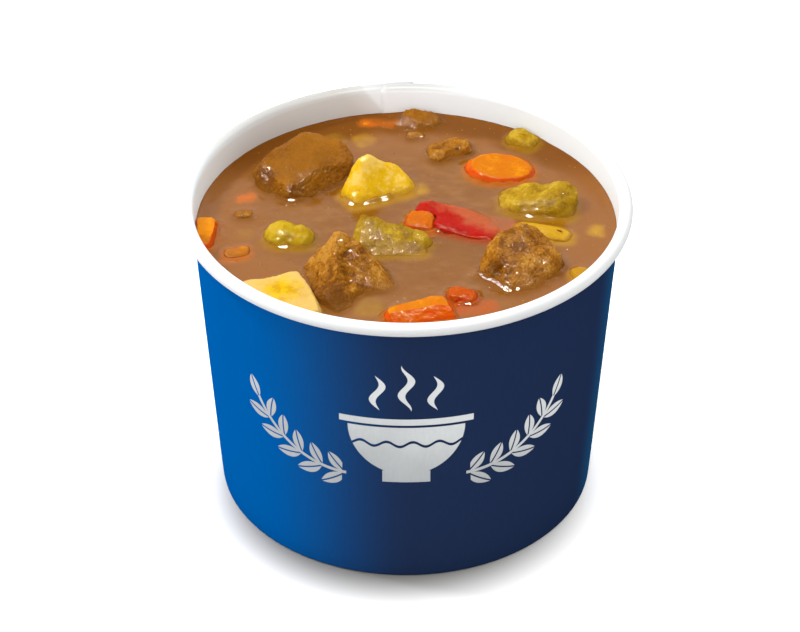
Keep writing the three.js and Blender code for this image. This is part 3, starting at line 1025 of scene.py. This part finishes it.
POTATO = {
    "potato_centre": Recipe(
        ((0.5, 6), (0.25, 1.6), (0.1, 0.5)),
        (pull((-8.7, 15.0, 8.5), (0.4, 0.2, 0.9), 2.2),
         pull((-16.0, 8.6, 0.3), (-1.3, -0.4, 0), 3.2),
         pull((1.4, 16.0, 0.8), (1.5, -0.2, 0.3), 3.4),
         pull((-13.5, 6.8, 0.2), (-0.2, -0.8, 0), 3), shave((-0.72, -0.5, 0.48), 0.9)),
        (((-12.5, 11.5, 4.5), 2.2, 0.9), ((-9, 15.5, 9), 3.4, 1.1)),
        voxel=0.28, rounding=5, wet=0.7, flats=0.8),
    "potato_front_left": Recipe(
        ((0.4, 7), (0.3, 1.8), (0.2, 0.6)),
        (pull((-23.6, -25.6, 3.2), (-1.2, 1.0, 0.2), 4.5),
         pull((-35.5, -29.4, 3.0), (-1.0, 1.2, 0.1), 5)),
        (((-28, -31, 3), 20.0, -0.35),), voxel=0.26, flats=0.9),
    "potato_right": Recipe(((0.4, 4), (0.15, 0.8)), wet=0.7, flats=0.8),
    "potato_front_right": Recipe(((0.4, 3), (0.15, 0.8)), tones=(((40, -22, 1), 6, -1.0),),
                                 voxel=0.2, wet=0.7, flats=0.8),
}
CARROT = {
    "carrot_right": Recipe(
        ((0.5, 5), (0.25, 1.4), (0.1, 0.5)),
        tones=(((14, 22, 3), 5, -0.5), ((24, 24, 3), 5, 0.35), ((31, 24, 2), 3, -0.4)),
        rounding=20, flats=0.7),
    "carrot_front": Recipe(((0.5, 5), (0.22, 1.4), (0.1, 0.5)), (shave((0.05, -0.8, 0.6), 3.6),),
                           voxel=0.24, flats=0.7),
    "carrot_left": Recipe(
        ((0.5, 4), (0.2, 1.2), (0.1, 0.5)),
        tones=(((-46.5, -3.5, 3), 5.5, 1.5), ((-45, -11, 2), 3, -0.6)), voxel=0.24, flats=0.7),
    "carrot_centre": Recipe(((0.8, 3), (0.3, 1.2)), tones=(((3.4, -1, 2), 6.0, -0.9),),
                            voxel=0.2, rounding=6, flats=0.9),
    "carrot_bit_left": Recipe(
        ((0.4, 2.5), (0.15, 1)),
        (pull((-40.5, -12.6, 0.4), (-1.0, -0.3, 0), 2),
         pull((-37.4, -11.0, 0.4), (0.8, 0.6, 0), 2)), voxel=0.2, rounding=6, flats=0.7),
}
CELERY = {
    "celery_centre": Recipe(
        ((0.7, 3.5), (0.35, (4.5, 1.5, 2), (0, 0, 48)), (0.2, (1.6, 1.2, 1.4)), (0.1, 0.5)),
        (shave((0.1, -0.6, 0.8), 0.8), pull((-9.5, -6.0, 3.2), (-0.5, 1.2, 2.4), 1.9),
         pull((-2.0, -8.0, 3.6), (0, 0.2, -0.9), 1.6)),
        (((-10.8, -8, 3), 1.9, 0.5), ((4.0, -11, 1.5), 2.6, -0.2), ((-6, -12, 1.5), 2.5, -0.3)),
        voxel=0.2, rounding=2, wet=0.7),
    "celery_right": Recipe(
        ((0.8, 3.5), (0.4, (2.6, 1.3, 1.5), (0, 0, 20)), (0.22, 0.9), (0.1, 0.4)),
        tones=(((37, 4.5, 1.0), 2.6, -0.6), ((22.5, 9, 2.5), 3.4, 0.7)),
        voxel=0.2, rounding=2, wet=0.7),
    "celery_back": Recipe(((0.6, 3), (0.3, (1.5, 0.8, 1))), tones=(((28, 36, 3), 7.0, 0.35),)),
}
BEAN = {"bean_left": Recipe(((0.5, 3), (0.18, 1.1), (0.06, 0.5)), voxel=0.2)}
PEPPER = {
    "red_pepper": Recipe(((0.6, 4), (0.25, 1.4), (0.1, 0.5)), wet=0.7),
    "red_pepper_front": Recipe(((0.6, 2.5), (0.3, 0.9)), voxel=0.2, wet=0.7),
}


# A place on the pepper strip's skin edge, and the way from there towards its flesh.
STRIP_EDGE = (3.5, 2.0)
STRIP_FACING = (0.6, 0.8)


def strip_depth(place):
    """How far a place lies from the skin of the pepper strip towards its flesh, in mm."""
    return sum((at - edge) * part for at, edge, part in zip(place, STRIP_EDGE, STRIP_FACING))


def make_foods(recipes, slot, finish, others=None):
    """Makes each food of a group around its node; others names those with own finishes."""
    for node, recipe in recipes.items():
        piece = fine_copy(node, node + "_fine", recipe.voxel, recipe.rounding)
        for step in recipe.shape:
            step(piece)
        carve(piece, recipe.steps, recipe.wet, recipe.flats, recipe.tones)
        dress(piece, (others or {}).get(node, finish), slot, node)


class SOUP_OT_beef(bpy.types.Operator):
    """Makes the pieces of stewed beef, with torn fibres and a broth glaze"""

    bl_idname = "soup.beef"
    bl_label = "Beef"

    def execute(self, context):
        s = settings()
        beef = partial(food_material, dark=s.beef_dark, specks=2.4, reach=2.4, film=0.45,
                       grain=2.8, pits=1.8, coat=0.6, soft=0.08, dabs=1.1, dab_depth=0.22,
                       glow=(1.0, 0.35, 0.15))
        finish = beef("Stewed beef", main=s.beef_main, light=s.beef_light, relief_share=0.45,
                      bump_depth=0.34)
        glazed = beef("Glazed beef", main=s.beef_glazed, light=s.beef_main, patches=0.16,
                      relief_share=0.3, bump_depth=0.2, dotted=0.6)
        make_foods(BEEF, "beef", finish, {"beef_back_left": glazed, "beef_back": glazed})
        return {"FINISHED"}


class SOUP_OT_potato(bpy.types.Operator):
    """Makes the yellow potato dice, soft at their cut edges"""

    bl_idname = "soup.potato"
    bl_label = "Potato"

    def execute(self, context):
        s = settings()

        def pale_edge(t, tone):
            """Fades from yellow in the middle of the cut face to a pale edge."""
            where = t.place()
            far = t.distance(where, (-28.0, -32.5, LEVEL / MM + 3))
            far = far + t.noise(where, 0.45, 3) * 8.0
            return t.mix(t.step(far, 5.5, 11.0), tone, s.potato_pale)

        potato = partial(food_material, dark=s.potato_dark, main=s.potato_main,
                         light=s.potato_light, patches=0.16, specks=1.5, relief_share=0.35,
                         grain=1.8, pits=0.45, pit_depth=0.6, soft=0.25, glow=(1.0, 0.7, 0.15))
        finish = potato("Cooked potato", reach=2.2, film=0.55, coat=0.5, dotted=0.5)
        veiled = potato("Veiled potato", reach=1.2, least=0.5, film=0.85)
        pale = potato("Pale potato", reach=1.0, film=0.3, coat=0.1, tint=pale_edge)
        make_foods(POTATO, "potato", finish, {
            "potato_front_left": pale, "potato_right": veiled, "potato_front_right": veiled})
        return {"FINISHED"}


class SOUP_OT_carrot(bpy.types.Operator):
    """Makes the carrot slices and dice, darker and redder on their upright sides"""

    bl_idname = "soup.carrot"
    bl_label = "Carrot"

    def execute(self, context):
        s = settings()

        def rind(t, tone):
            """Turns the tone darker and redder where the surface leans away from level: redder
            outer flesh, with painted shade.
            """
            return t.mix(t.step(t.lean(), 0.58, 0.94, 1.0, 0.0) * 0.9, tone, s.carrot_dark)

        carrot = partial(food_material, dark=s.carrot_deep, main=s.carrot_main,
                         light=s.carrot_light, patches=0.22, specks=1.6, relief_share=0.35,
                         grain=1.6, pits=0.7, pit_depth=0.4, soft=0.2, glow=(1.0, 0.35, 0.08),
                         tint=rind, dabs=1.2, dab_depth=0.18, dotted=0.6)
        finish = carrot("Cooked carrot", reach=1.2, film=0.2, coat=0.4)
        veiled = carrot("Veiled carrot", reach=1.6, least=0.25, film=0.75, coat=0.2)
        plain = carrot("Plain carrot", reach=1.2, film=0.12, coat=0.1)
        make_foods(CARROT, "carrot", finish, {
            "carrot_front": plain, "carrot_bit_left": veiled, "carrot_centre": veiled})
        return {"FINISHED"}


class SOUP_OT_greens(bpy.types.Operator):
    """Makes the ribbed celery and the bean"""

    bl_idname = "soup.greens"
    bl_label = "Celery and bean"

    def execute(self, context):
        s = settings()
        greens = partial(food_material, light=s.celery_light, reach=2.2, glow=(0.9, 0.8, 0.2))
        make_foods(CELERY, "greens", greens(
            "Stewed celery", s.celery_dark, s.celery_main, patches=0.28, specks=1.3,
            relief_share=0.4, film=0.35, grain=2.2, pits=1.2, pit_depth=0.4, bump_depth=0.28,
            coat=0.6, dabs=1.4, dab_depth=0.24))
        make_foods(BEAN, "greens", greens(
            "Stewed bean", s.celery_main, s.bean_main, patches=0.2, specks=1.0,
            relief_share=0.35, film=0.5, grain=1.5, bump_depth=0.07, coat=0.34, soft=0.2,
            dabs=0.9, dab_depth=0.12, dotted=0.5))
        return {"FINISHED"}


class SOUP_OT_pepper(bpy.types.Operator):
    """Makes the red pepper, with its deep skin and pink flesh"""

    bl_idname = "soup.pepper"
    bl_label = "Red pepper"

    def execute(self, context):
        s = settings()

        def flesh(t, tone):
            """Shows pink flesh away from the skin along the strip's near edge."""
            where = t.place()
            apart = t.vector("SUBTRACT", where, (*STRIP_EDGE, 0))
            off = t.vector("DOT_PRODUCT", apart, (*STRIP_FACING, 0), output="Value")
            off = off + t.wander(where, 0.3, 3, 7.0)
            tone = t.mix(t.step(off, 2.6, 7.2), tone, s.pepper_flesh)
            return t.mix(t.step(off, 7.0, 12.5) * 0.8, tone, s.broth_pale)

        pepper = partial(food_material, specks=1.2, relief_share=0.4, reach=1.0, grain=1.5,
                         glow=(1.0, 0.2, 0.1))
        finish = pepper("Red pepper", s.pepper_dark, s.pepper_main, s.pepper_main, patches=0.2,
                        film=0.15, bump_depth=0.08, coat=0.06, tint=flesh, dab_depth=0.1)
        small = pepper("Small pepper", s.pepper_main, s.pepper_bit, s.pepper_bit, film=0.2,
                       coat=0.35)
        make_foods(PEPPER, "pepper", finish, {"red_pepper_front": small})
        return {"FINISHED"}


# ------------------------------------------------------------------ what is sunk in the broth

# Each sunk piece: kind, centre across the cup, size, turn in degrees, depth of its top.
SUNK = (
    ("carrot", (-37.9, 10.9), (5.0, 4.6, 3.5), 8, 0.05),
    ("carrot", (-41.5, -15.5), (4.0, 3.0, 3.0), 30, 0.35),
    ("celery", (-37.6, -4.6), (4.0, 4.2, 3.0), 5, 0.6),
    ("potato", (-10.1, 36.6), (5.0, 6.5, 4.0), 20, 0.45),
    ("carrot", (-6.6, 44.6), (10.5, 4.2, 3.0), -4, 0.3),
    ("celery", (-17.5, 37.5), (6.0, 5.0, 3.5), 20, 0.6),
    ("beef", (16.8, 40.6), (13.0, 6.0, 4.0), -16, 0.25),
    ("celery", (-8.6, -34.0), (6.5, 8.0, 4.0), -12, 0.5),
    ("potato", (44.4, -3.2), (4.2, 5.0, 3.5), 0, 0.12),
    ("beef", (23.5, -29.0), (16.0, 4.0, 4.0), 12, 0.35),
    ("tomato", (15.2, -34.0), (11.0, 6.0, 4.0), 6, 0.05),
    ("pepper", (22.5, -1.5), (9.0, 8.0, 3.0), -20, 0.2),
    ("potato", (3.5, 15.0), (4.0, 5.5, 3.5), 30, 0.35),
)
# The finish and the slot of each kind of sunk piece.
SUNK_LOOKS = {
    "beef": ("Stewed beef", "beef"), "potato": ("Cooked potato", "potato"),
    "carrot": ("Cooked carrot", "carrot"), "celery": ("Stewed celery", "greens"),
    "pepper": ("Red pepper", "pepper"), "tomato": ("Small pepper", "pepper"),
}


class SOUP_OT_sunk(bpy.types.Operator):
    """Makes the dice that lie just under the broth"""

    bl_idname = "soup.sunk"
    bl_label = "Sunk pieces"

    def execute(self, context):
        kinds = {}
        for kind, *sizes in SUNK:
            kinds.setdefault(kind, []).append(self.dice(kind, *sizes))
        for kind, dice in kinds.items():
            piece = join(dice, kind + "_sunk")
            carve(piece, ((2.2, 3), (0.8, 1.2)), 1.0)
            finish, slot = SUNK_LOOKS[kind]
            dress(piece, bpy.data.materials[finish], slot)
        return {"FINISHED"}

    def dice(self, kind, centre, size, turn, depth):
        """A rounded block of food just under the surface."""
        block = primitive("cube", kind + "_dice", size=1)
        block.scale = [value * MM for value in size]
        block.rotation_euler = (0, 0, math.radians(turn))
        block.location = (centre[0] * MM, centre[1] * MM,
                          LEVEL - (depth + size[2] / 2 + 0.3) * MM)
        settle(block)
        edit(block, lambda: bpy.ops.mesh.bevel(
            offset=1.4 * MM, segments=3, affect="EDGES", clamp_overlap=True))
        edit(block, lambda: bpy.ops.mesh.subdivide(number_cuts=5))
        apply(block, "SMOOTH", factor=0.5, iterations=3)
        return block


# ------------------------------------------------------------------ broth


GRID_STEPS = 270
BROTH_REACH = 49.45 * MM


def tree_of(pieces):
    """One search tree over the meshes of several pieces."""
    corners, faces = [], []
    for piece in pieces:
        start = len(corners)
        corners.extend(vertex.co.copy() for vertex in piece.data.vertices)
        faces.extend([start + index for index in face.vertices]
                     for face in piece.data.polygons)
    return BVHTree.FromPolygons(corners, faces)


def foods():
    """The finished foods."""
    return [piece for piece in bpy.data.objects if piece.name.endswith(("_fine", "_sunk"))]


def broth_material():
    """Cloudy brown broth, tinted by what lies under it, with painted shade along the far wall and
    a wet surface.
    """
    s = settings()
    made, t, shader = material("Broth")
    where = t.place()
    across, along = t.off_axis(where), t.axes(where)[1]
    streaks = t.noise(t.place((6, 3.5, 4), (0, 0, 24)), 1.0, 4, 0.6)
    specks = t.step(t.noise(where, 2.2, 2, 0.6), 0.62, 0.74)
    tone = t.mix(t.step(t.noise(where, 0.06, 4, 0.6), 0.35, 0.65), s.broth_deep, s.broth)
    tone = t.mix(t.step(streaks, 0.42, 0.7) * 0.6, tone, s.broth_pale)
    tone = t.mix(specks * 0.6, tone, s.broth_pale)
    tone = t.mix(t.step(across, 24.0, 44.0), tone, s.broth_edge)
    # Painted shade: a darker, clearer brown along the far wall, where the broth is also less
    # glossy.
    wander = t.wander(where, 0.1, 2, 10.0)
    ring = t.step(across + wander, 39.0, 44.0) * t.step(along, 14.0, 30.0)
    back = t.most(ring, t.step(along + wander, 36.0, 42.0))
    under = t.wires(t.add("ShaderNodeAttribute", attribute_name="Sunk"))
    tone = t.mix(under["Alpha"] * 0.9, t.mix(back, tone, s.broth_back), under["Color"])
    shine = t.step(back, 0.0, 1.0, 0.34, 0.16) * t.step(under["Alpha"], 0.1, 0.9, 1.0, 0.7)
    climbing = t.step(t.lean(), 0.75, 0.93, 2.0, 1.0)
    t.set(shader, Base_Color=tone, Roughness=t.span(streaks, 0.3, 0.7, 0.06, 0.14), IOR=1.35,
          Specular_IOR_Level=climbing * shine, Subsurface_Weight=0.1,
          Subsurface_Radius=(1.0, 0.45, 0.15), Subsurface_Scale=1.5 * MM)
    bump(t, shader, t.noise(where, 0.9, 3, 0.6) + t.noise(where, 0.22, 2) * 2.0, 0.35, 0.12)
    return made


# Places where the broth climbs further: across the cup in mm, reach in mm, amount.
BANKS = (
    ((17.2, -23.5), 2.6, 0.7), ((20.7, -25.6), 2.6, 0.75), ((24.0, -27.3), 2.6, 0.8),
    ((-13.2, 7.4), 2.2, 1.0), ((-7.8, 9.9), 2.2, 1.0), ((-4.5, 12.0), 2.2, 1.0),
    ((-29.1, -10.5), 2.2, 0.5), ((-27.9, 10.3), 2.4, 0.55), ((36.4, 5.2), 2.2, 0.7),
    ((30.1, 3.6), 1.8, 0.4), ((-3.4, -39.9), 1.8, 0.6), ((6.5, -3.4), 1.8, 0.6),
)
# How much wider a piece's foot shows than it does round most pieces.
WIDE_FEET = {"beef_right_fine": 3.0, "potato_centre_fine": 1.9, "celery_right_fine": 1.7,
             "bean_left_fine": 1.4, "beef_back_left_fine": 1.3}


# Higher than any food stands over the broth, and the lift that keeps a ray off its start.
TALL = 20 * MM
HAIR = 1e-5
# How far round a piece its colour can show in the broth, in mm.
FRINGE = 2.5


class SOUP_OT_broth(bpy.types.Operator):
    """Makes the broth's surface, which climbs what it touches"""

    bl_idname = "soup.broth"
    bl_label = "Broth"

    def execute(self, context):
        broth = self.disc()
        self.shape(broth)
        self.tint(broth)
        self.close(broth)
        dress(broth, broth_material(), "broth", "broth")
        return {"FINISHED"}

    def disc(self):
        """A fine grid cut to a disc that reaches just into the wall."""
        broth = primitive(
            "grid", "broth_surface", x_subdivisions=GRID_STEPS, y_subdivisions=GRID_STEPS,
            size=2 * BROTH_REACH, location=(0, 0, LEVEL))
        settle(broth)
        edge = BROTH_REACH - 0.2 * MM
        edit(broth, lambda: bpy.ops.mesh.delete(type="VERT"),
             select=lambda place: place.xy.length > edge)
        places = points(broth)
        radius = np.hypot(places[:, 0], places[:, 1])
        corners = np.empty(len(broth.data.loops), dtype=int)
        broth.data.loops.foreach_get("vertex_index", corners)
        border = np.bincount(corners, minlength=len(places)) < 4
        stretch = np.where(border, BROTH_REACH / np.maximum(radius, 1e-6), 1.0)
        places[:, :2] *= stretch[:, None]
        move_points(broth, places)
        return broth

    def shape(self, broth):
        """Gives the surface its menisci and a slow swell."""
        s = settings()
        solids = tree_of(foods())
        places = points(broth)
        inner = wall_radius(LEVEL) - s.board
        climbs = np.zeros(len(places))
        for index, (x, y, z) in enumerate(places):
            here = Vector((x, y, LEVEL))
            near, _, _, gap = solids.find_nearest(here, 4 * MM)
            climb = 0.0
            if near is not None:
                hit = solids.ray_cast(here + UP * HAIR, UP, TALL)
                inside = hit[0] is not None and hit[1].z > 0
                climb = 0.72 + 0.75 * noise.noise(here / (2.6 * MM))
                for place, reach, amount in BANKS:
                    apart = math.dist(place, (x / MM, y / MM)) / reach
                    climb += amount * math.exp(-apart ** 2)
                climb *= self.bank(solids, near, (here - near) * (1 if inside else -1))
                climb *= 1.0 if inside else math.exp(-gap / s.meniscus_reach)
                climb -= 2.2 * smooth_part(gap / (0.7 * MM)) if inside else 0.0
            wall = max(0.0, inner - math.hypot(x, y))
            climbs[index] = climb * s.meniscus + 0.45 * MM * math.exp(-wall / (0.8 * MM))
        places[:, 2] += climbs
        move_points(broth, places)
        relief(broth, 0.22, 9)
        relief(broth, 0.07, 2.4)

    def bank(self, solids, near, inward):
        """How far a piece stands out of the broth just inside its edge, up to 1."""
        inward.z = 0
        start = near + inward.normalized() * 0.9 * MM
        start.z = LEVEL + TALL
        top = solids.ray_cast(start, DOWN, TALL)[0]
        return smooth_part((top.z - LEVEL) / (1.8 * MM)) if top else 0.0

    def tint(self, broth):
        """Stores the colour of what shows through, and how clearly it shows."""
        s = settings()
        tints = {"beef": s.beef_dark, "potato": s.potato_dark, "carrot": s.carrot_deep,
                 "celery": s.celery_main, "bean": s.celery_main, "pepper": s.pepper_main,
                 "pepper_sunk": s.pepper_flesh, "tomato": s.pepper_bit}
        places = points(broth)
        weight = np.full(len(places), 1e-4)
        murky = np.array(s.broth[:3])
        total = weight[:, None] * murky
        for piece in foods():
            kind = piece.name if piece.name in tints else piece.name.split("_")[0]
            solid = tree_of([piece])
            sunk = piece.name.endswith("_sunk")
            wide = WIDE_FEET.get(piece.name, 1.0)
            share = 1.0 if sunk else 0.7
            tone, flesh = (share * np.array(each[:3]) + (1 - share) * murky
                           for each in (tints.get(kind, s.pepper_main), s.pepper_flesh))
            low = points(piece).min(axis=0) - FRINGE * wide * MM
            high = points(piece).max(axis=0) + FRINGE * wide * MM
            near = ((places > low) & (places < high))[:, :2].all(axis=1)
            for index in np.nonzero(near)[0]:
                here = Vector((places[index][0], places[index][1], LEVEL + 0.1 * MM))
                hit = solid.ray_cast(here, DOWN, 4 * MM)
                clear = 0.9 * math.exp(-hit[3] / s.murk) if hit[0] else 0.0
                if kind in ("carrot", "tomato"):
                    clear = min(0.95, 1.3 * clear)
                if not sunk:
                    clear = max(0.8 * clear, self.veil(here, solid, wide))
                if clear > weight[index]:
                    weight[index] = clear
                    total[index] = tone * clear
                    if piece.name == "red_pepper_fine":
                        skin = 1 - smooth_part((strip_depth(here / MM) - 3.0) / 3.0)
                        total[index] = (tone * skin + flesh * (1 - skin)) * clear
        weight, total = self.blur(broth, np.column_stack((weight, total)))
        shown = np.column_stack((total / weight[:, None], weight))
        attribute = broth.data.color_attributes.new("Sunk", "FLOAT_COLOR", "POINT")
        attribute.data.foreach_set("color", shown.astype(np.float32).ravel())

    def veil(self, here, solid, wide):
        """How clearly a piece's foot shows in the meniscus, most on its near side."""
        near, _, _, gap = solid.find_nearest(here, 3 * wide * MM)
        if near is None or gap < 1e-6:
            return 0.0
        front = (near.y - here.y) / gap
        reach = (0.8 + max(0.0, front) * wide) * MM
        return (0.53 + 0.27 * front) * (1 - smooth_part((gap / reach - 0.3) / 1.1))

    def blur(self, broth, values, rounds=2):
        """Averages values with those of the neighbouring vertices, a few times over."""
        ends = np.empty(len(broth.data.edges) * 2, dtype=int)
        broth.data.edges.foreach_get("vertices", ends)
        first, second = ends.reshape(-1, 2).T
        for _ in range(rounds):
            total, count = values.copy(), np.ones(len(values))
            np.add.at(total, first, values[second])
            np.add.at(total, second, values[first])
            np.add.at(count, first, 1)
            np.add.at(count, second, 1)
            values = total / count[:, None]
        return values[:, 0], values[:, 1:]

    def close(self, broth):
        """Carries the surface's edge down inside the cup and closes it at the base."""
        foot = (FOOT_RADIUS - 0.3 * MM) / BROTH_REACH
        depth = BASE_TOP + 0.1 * MM
        top = LEVEL - 1.5 * MM

        def level(height, scale):
            """Extrudes the open edge to a height and draws it in."""
            bpy.ops.mesh.extrude_edges_move(TRANSFORM_OT_translate={"value": (0, 0, height)})
            bpy.ops.transform.resize(value=(scale, scale, 1), center_override=(0, 0, 0))

        edit(broth, lambda: bpy.ops.mesh.select_mode(type="EDGE"),
             lambda: bpy.ops.mesh.select_all(action="DESELECT"),
             lambda: bpy.ops.mesh.select_non_manifold(),
             lambda: level(top - LEVEL, 1.0),
             lambda: level(depth - top, foot),
             lambda: bpy.ops.mesh.edge_face_add())


# ------------------------------------------------------------------ fat, crumbs and flecks


class SOUP_OT_floating(bpy.types.Operator):
    """Makes the fat droplets, meat crumbs and herb flecks that float on the broth"""

    bl_idname = "soup.floating"
    bl_label = "Droplets and crumbs"

    def execute(self, context):
        s = settings()
        self.solids = tree_of(foods())
        self.surface = tree_of([bpy.data.objects["broth_surface"]])
        self.chance = random.Random(SEED)
        fat, t, shader = material("Fat droplets")
        where = t.place()
        t.set(shader, Base_Color=t.mix(t.noise(where, 0.4, 2), s.broth, s.broth_pale),
              Roughness=t.noise(where, 1.5, 1) * 0.2, Coat_Weight=0.6)
        self.scatter("fat_droplets", 150, (0.1, 0.22), 0.35, fat, "broth", 2.2)
        bits = partial(food_material, patches=0.8, relief_share=0.2)
        crumb = bits("Meat crumbs", s.beef_main, s.beef_light, s.potato_light, film=0.3,
                     coat=0.4, soft=0.05)
        self.scatter("meat_crumbs", 320, (0.07, 0.16), 0.7, crumb, "beef", 2.0)
        fleck = bits("Herb flecks", s.beef_dark, s.beef_dark, s.celery_dark, film=0.1,
                     coat=0.5, soft=0.0)
        self.scatter("herb_flecks", 8, (0.1, 0.2), 0.3, fleck, "greens", 9.0)
        return {"FINISHED"}

    def scatter(self, name, count, sizes, flatness, finish, slot, spread):
        """Scatters small lumps on the broth, thicker near the pieces."""
        model = primitive("ico_sphere", name + "_model", subdivisions=2, radius=1)
        apply(model, "SMOOTH", factor=0.3, iterations=1)
        lumps = []
        for place in self.places(count, spread):
            lump = linked(name, model.data.copy())
            size = self.chance.uniform(*sizes) * MM
            lump.scale = (size * self.chance.uniform(0.8, 1.5), size, size * flatness)
            lump.rotation_euler = (0, 0, self.chance.uniform(0, math.pi))
            lump.location = place + UP * size * flatness * 0.15
            lumps.append(lump)
        if name == "herb_flecks":
            lumps[0].location = self.on_top(35.7 * MM, -4.6 * MM) + UP * 0.06 * MM
            lumps[0].scale = (0.85 * MM, 0.28 * MM, 0.16 * MM)
            lumps[0].rotation_euler = (0, 0, math.radians(-38))
        bpy.data.objects.remove(model)
        only(*lumps)
        bpy.ops.object.transform_apply(location=True, rotation=True, scale=True)
        piece = join(lumps, name)
        relief(piece, 0.12, 0.4)
        store(piece, "Relief", np.full(len(piece.data.vertices), 0.5))
        dress(piece, finish, slot)

    def on_top(self, x, y):
        """The highest place of the food or the broth there."""
        start = Vector((x, y, LEVEL + TALL))
        hits = [tree.ray_cast(start, DOWN, 2 * TALL)[0] for tree in (self.solids, self.surface)]
        return max((hit for hit in hits if hit is not None), key=lambda hit: hit.z)

    def places(self, count, spread):
        """Places on the open broth, most of them within a spread of the pieces, in mm."""
        found = []
        while len(found) < count:
            x, y = (self.chance.uniform(-49, 49) * MM for _ in range(2))
            if math.hypot(x, y) > 48.2 * MM:
                continue
            here = Vector((x, y, LEVEL))
            near = self.solids.find_nearest(here, 30 * MM)
            gap = near[3] if near[0] else 30 * MM
            above = self.solids.ray_cast(here + UP * HAIR, UP, TALL)
            if gap < 0.25 * MM or above[0] is not None:
                continue
            if self.chance.random() > math.exp(-gap / (spread * MM)) + 0.1:
                continue
            hit = self.surface.ray_cast(here + UP * 5 * MM, DOWN, 10 * MM)
            if hit[0] is not None:
                found.append(hit[0])
        return found


# ------------------------------------------------------------------ panel and running


STEPS = (SOUP_OT_studio, SOUP_OT_sleeve, SOUP_OT_base, SOUP_OT_beef, SOUP_OT_potato,
         SOUP_OT_carrot, SOUP_OT_greens, SOUP_OT_pepper, SOUP_OT_sunk, SOUP_OT_broth,
         SOUP_OT_floating)


class SOUP_PT_panel(bpy.types.Panel):
    """Lists the steps that make the cup of soup"""

    bl_idname = "SOUP_PT_panel"
    bl_label = "Vegetable beef soup"
    bl_space_type = "VIEW_3D"
    bl_region_type = "UI"
    bl_category = "Soup"

    def draw(self, context):
        for step in STEPS:
            self.layout.operator(step.bl_idname)
        for name in SoupSettings.__annotations__:
            self.layout.prop(context.scene.soup, name)


CLASSES = (SoupSettings, *STEPS, SOUP_PT_panel)


def register():
    """Registers the settings, the operators and the panel."""
    for each in CLASSES:
        bpy.utils.register_class(each)
    bpy.types.Scene.soup = bpy.props.PointerProperty(type=SoupSettings)


def unregister():
    """Takes them away again."""
    del bpy.types.Scene.soup
    for each in reversed(CLASSES):
        bpy.utils.unregister_class(each)


def main():
    """Makes the cup of soup and its studio."""
    register()
    for step in STEPS:
        space, name = step.bl_idname.split(".")
        getattr(getattr(bpy.ops, space), name)()
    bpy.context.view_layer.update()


if __name__ == "__main__":
    main()
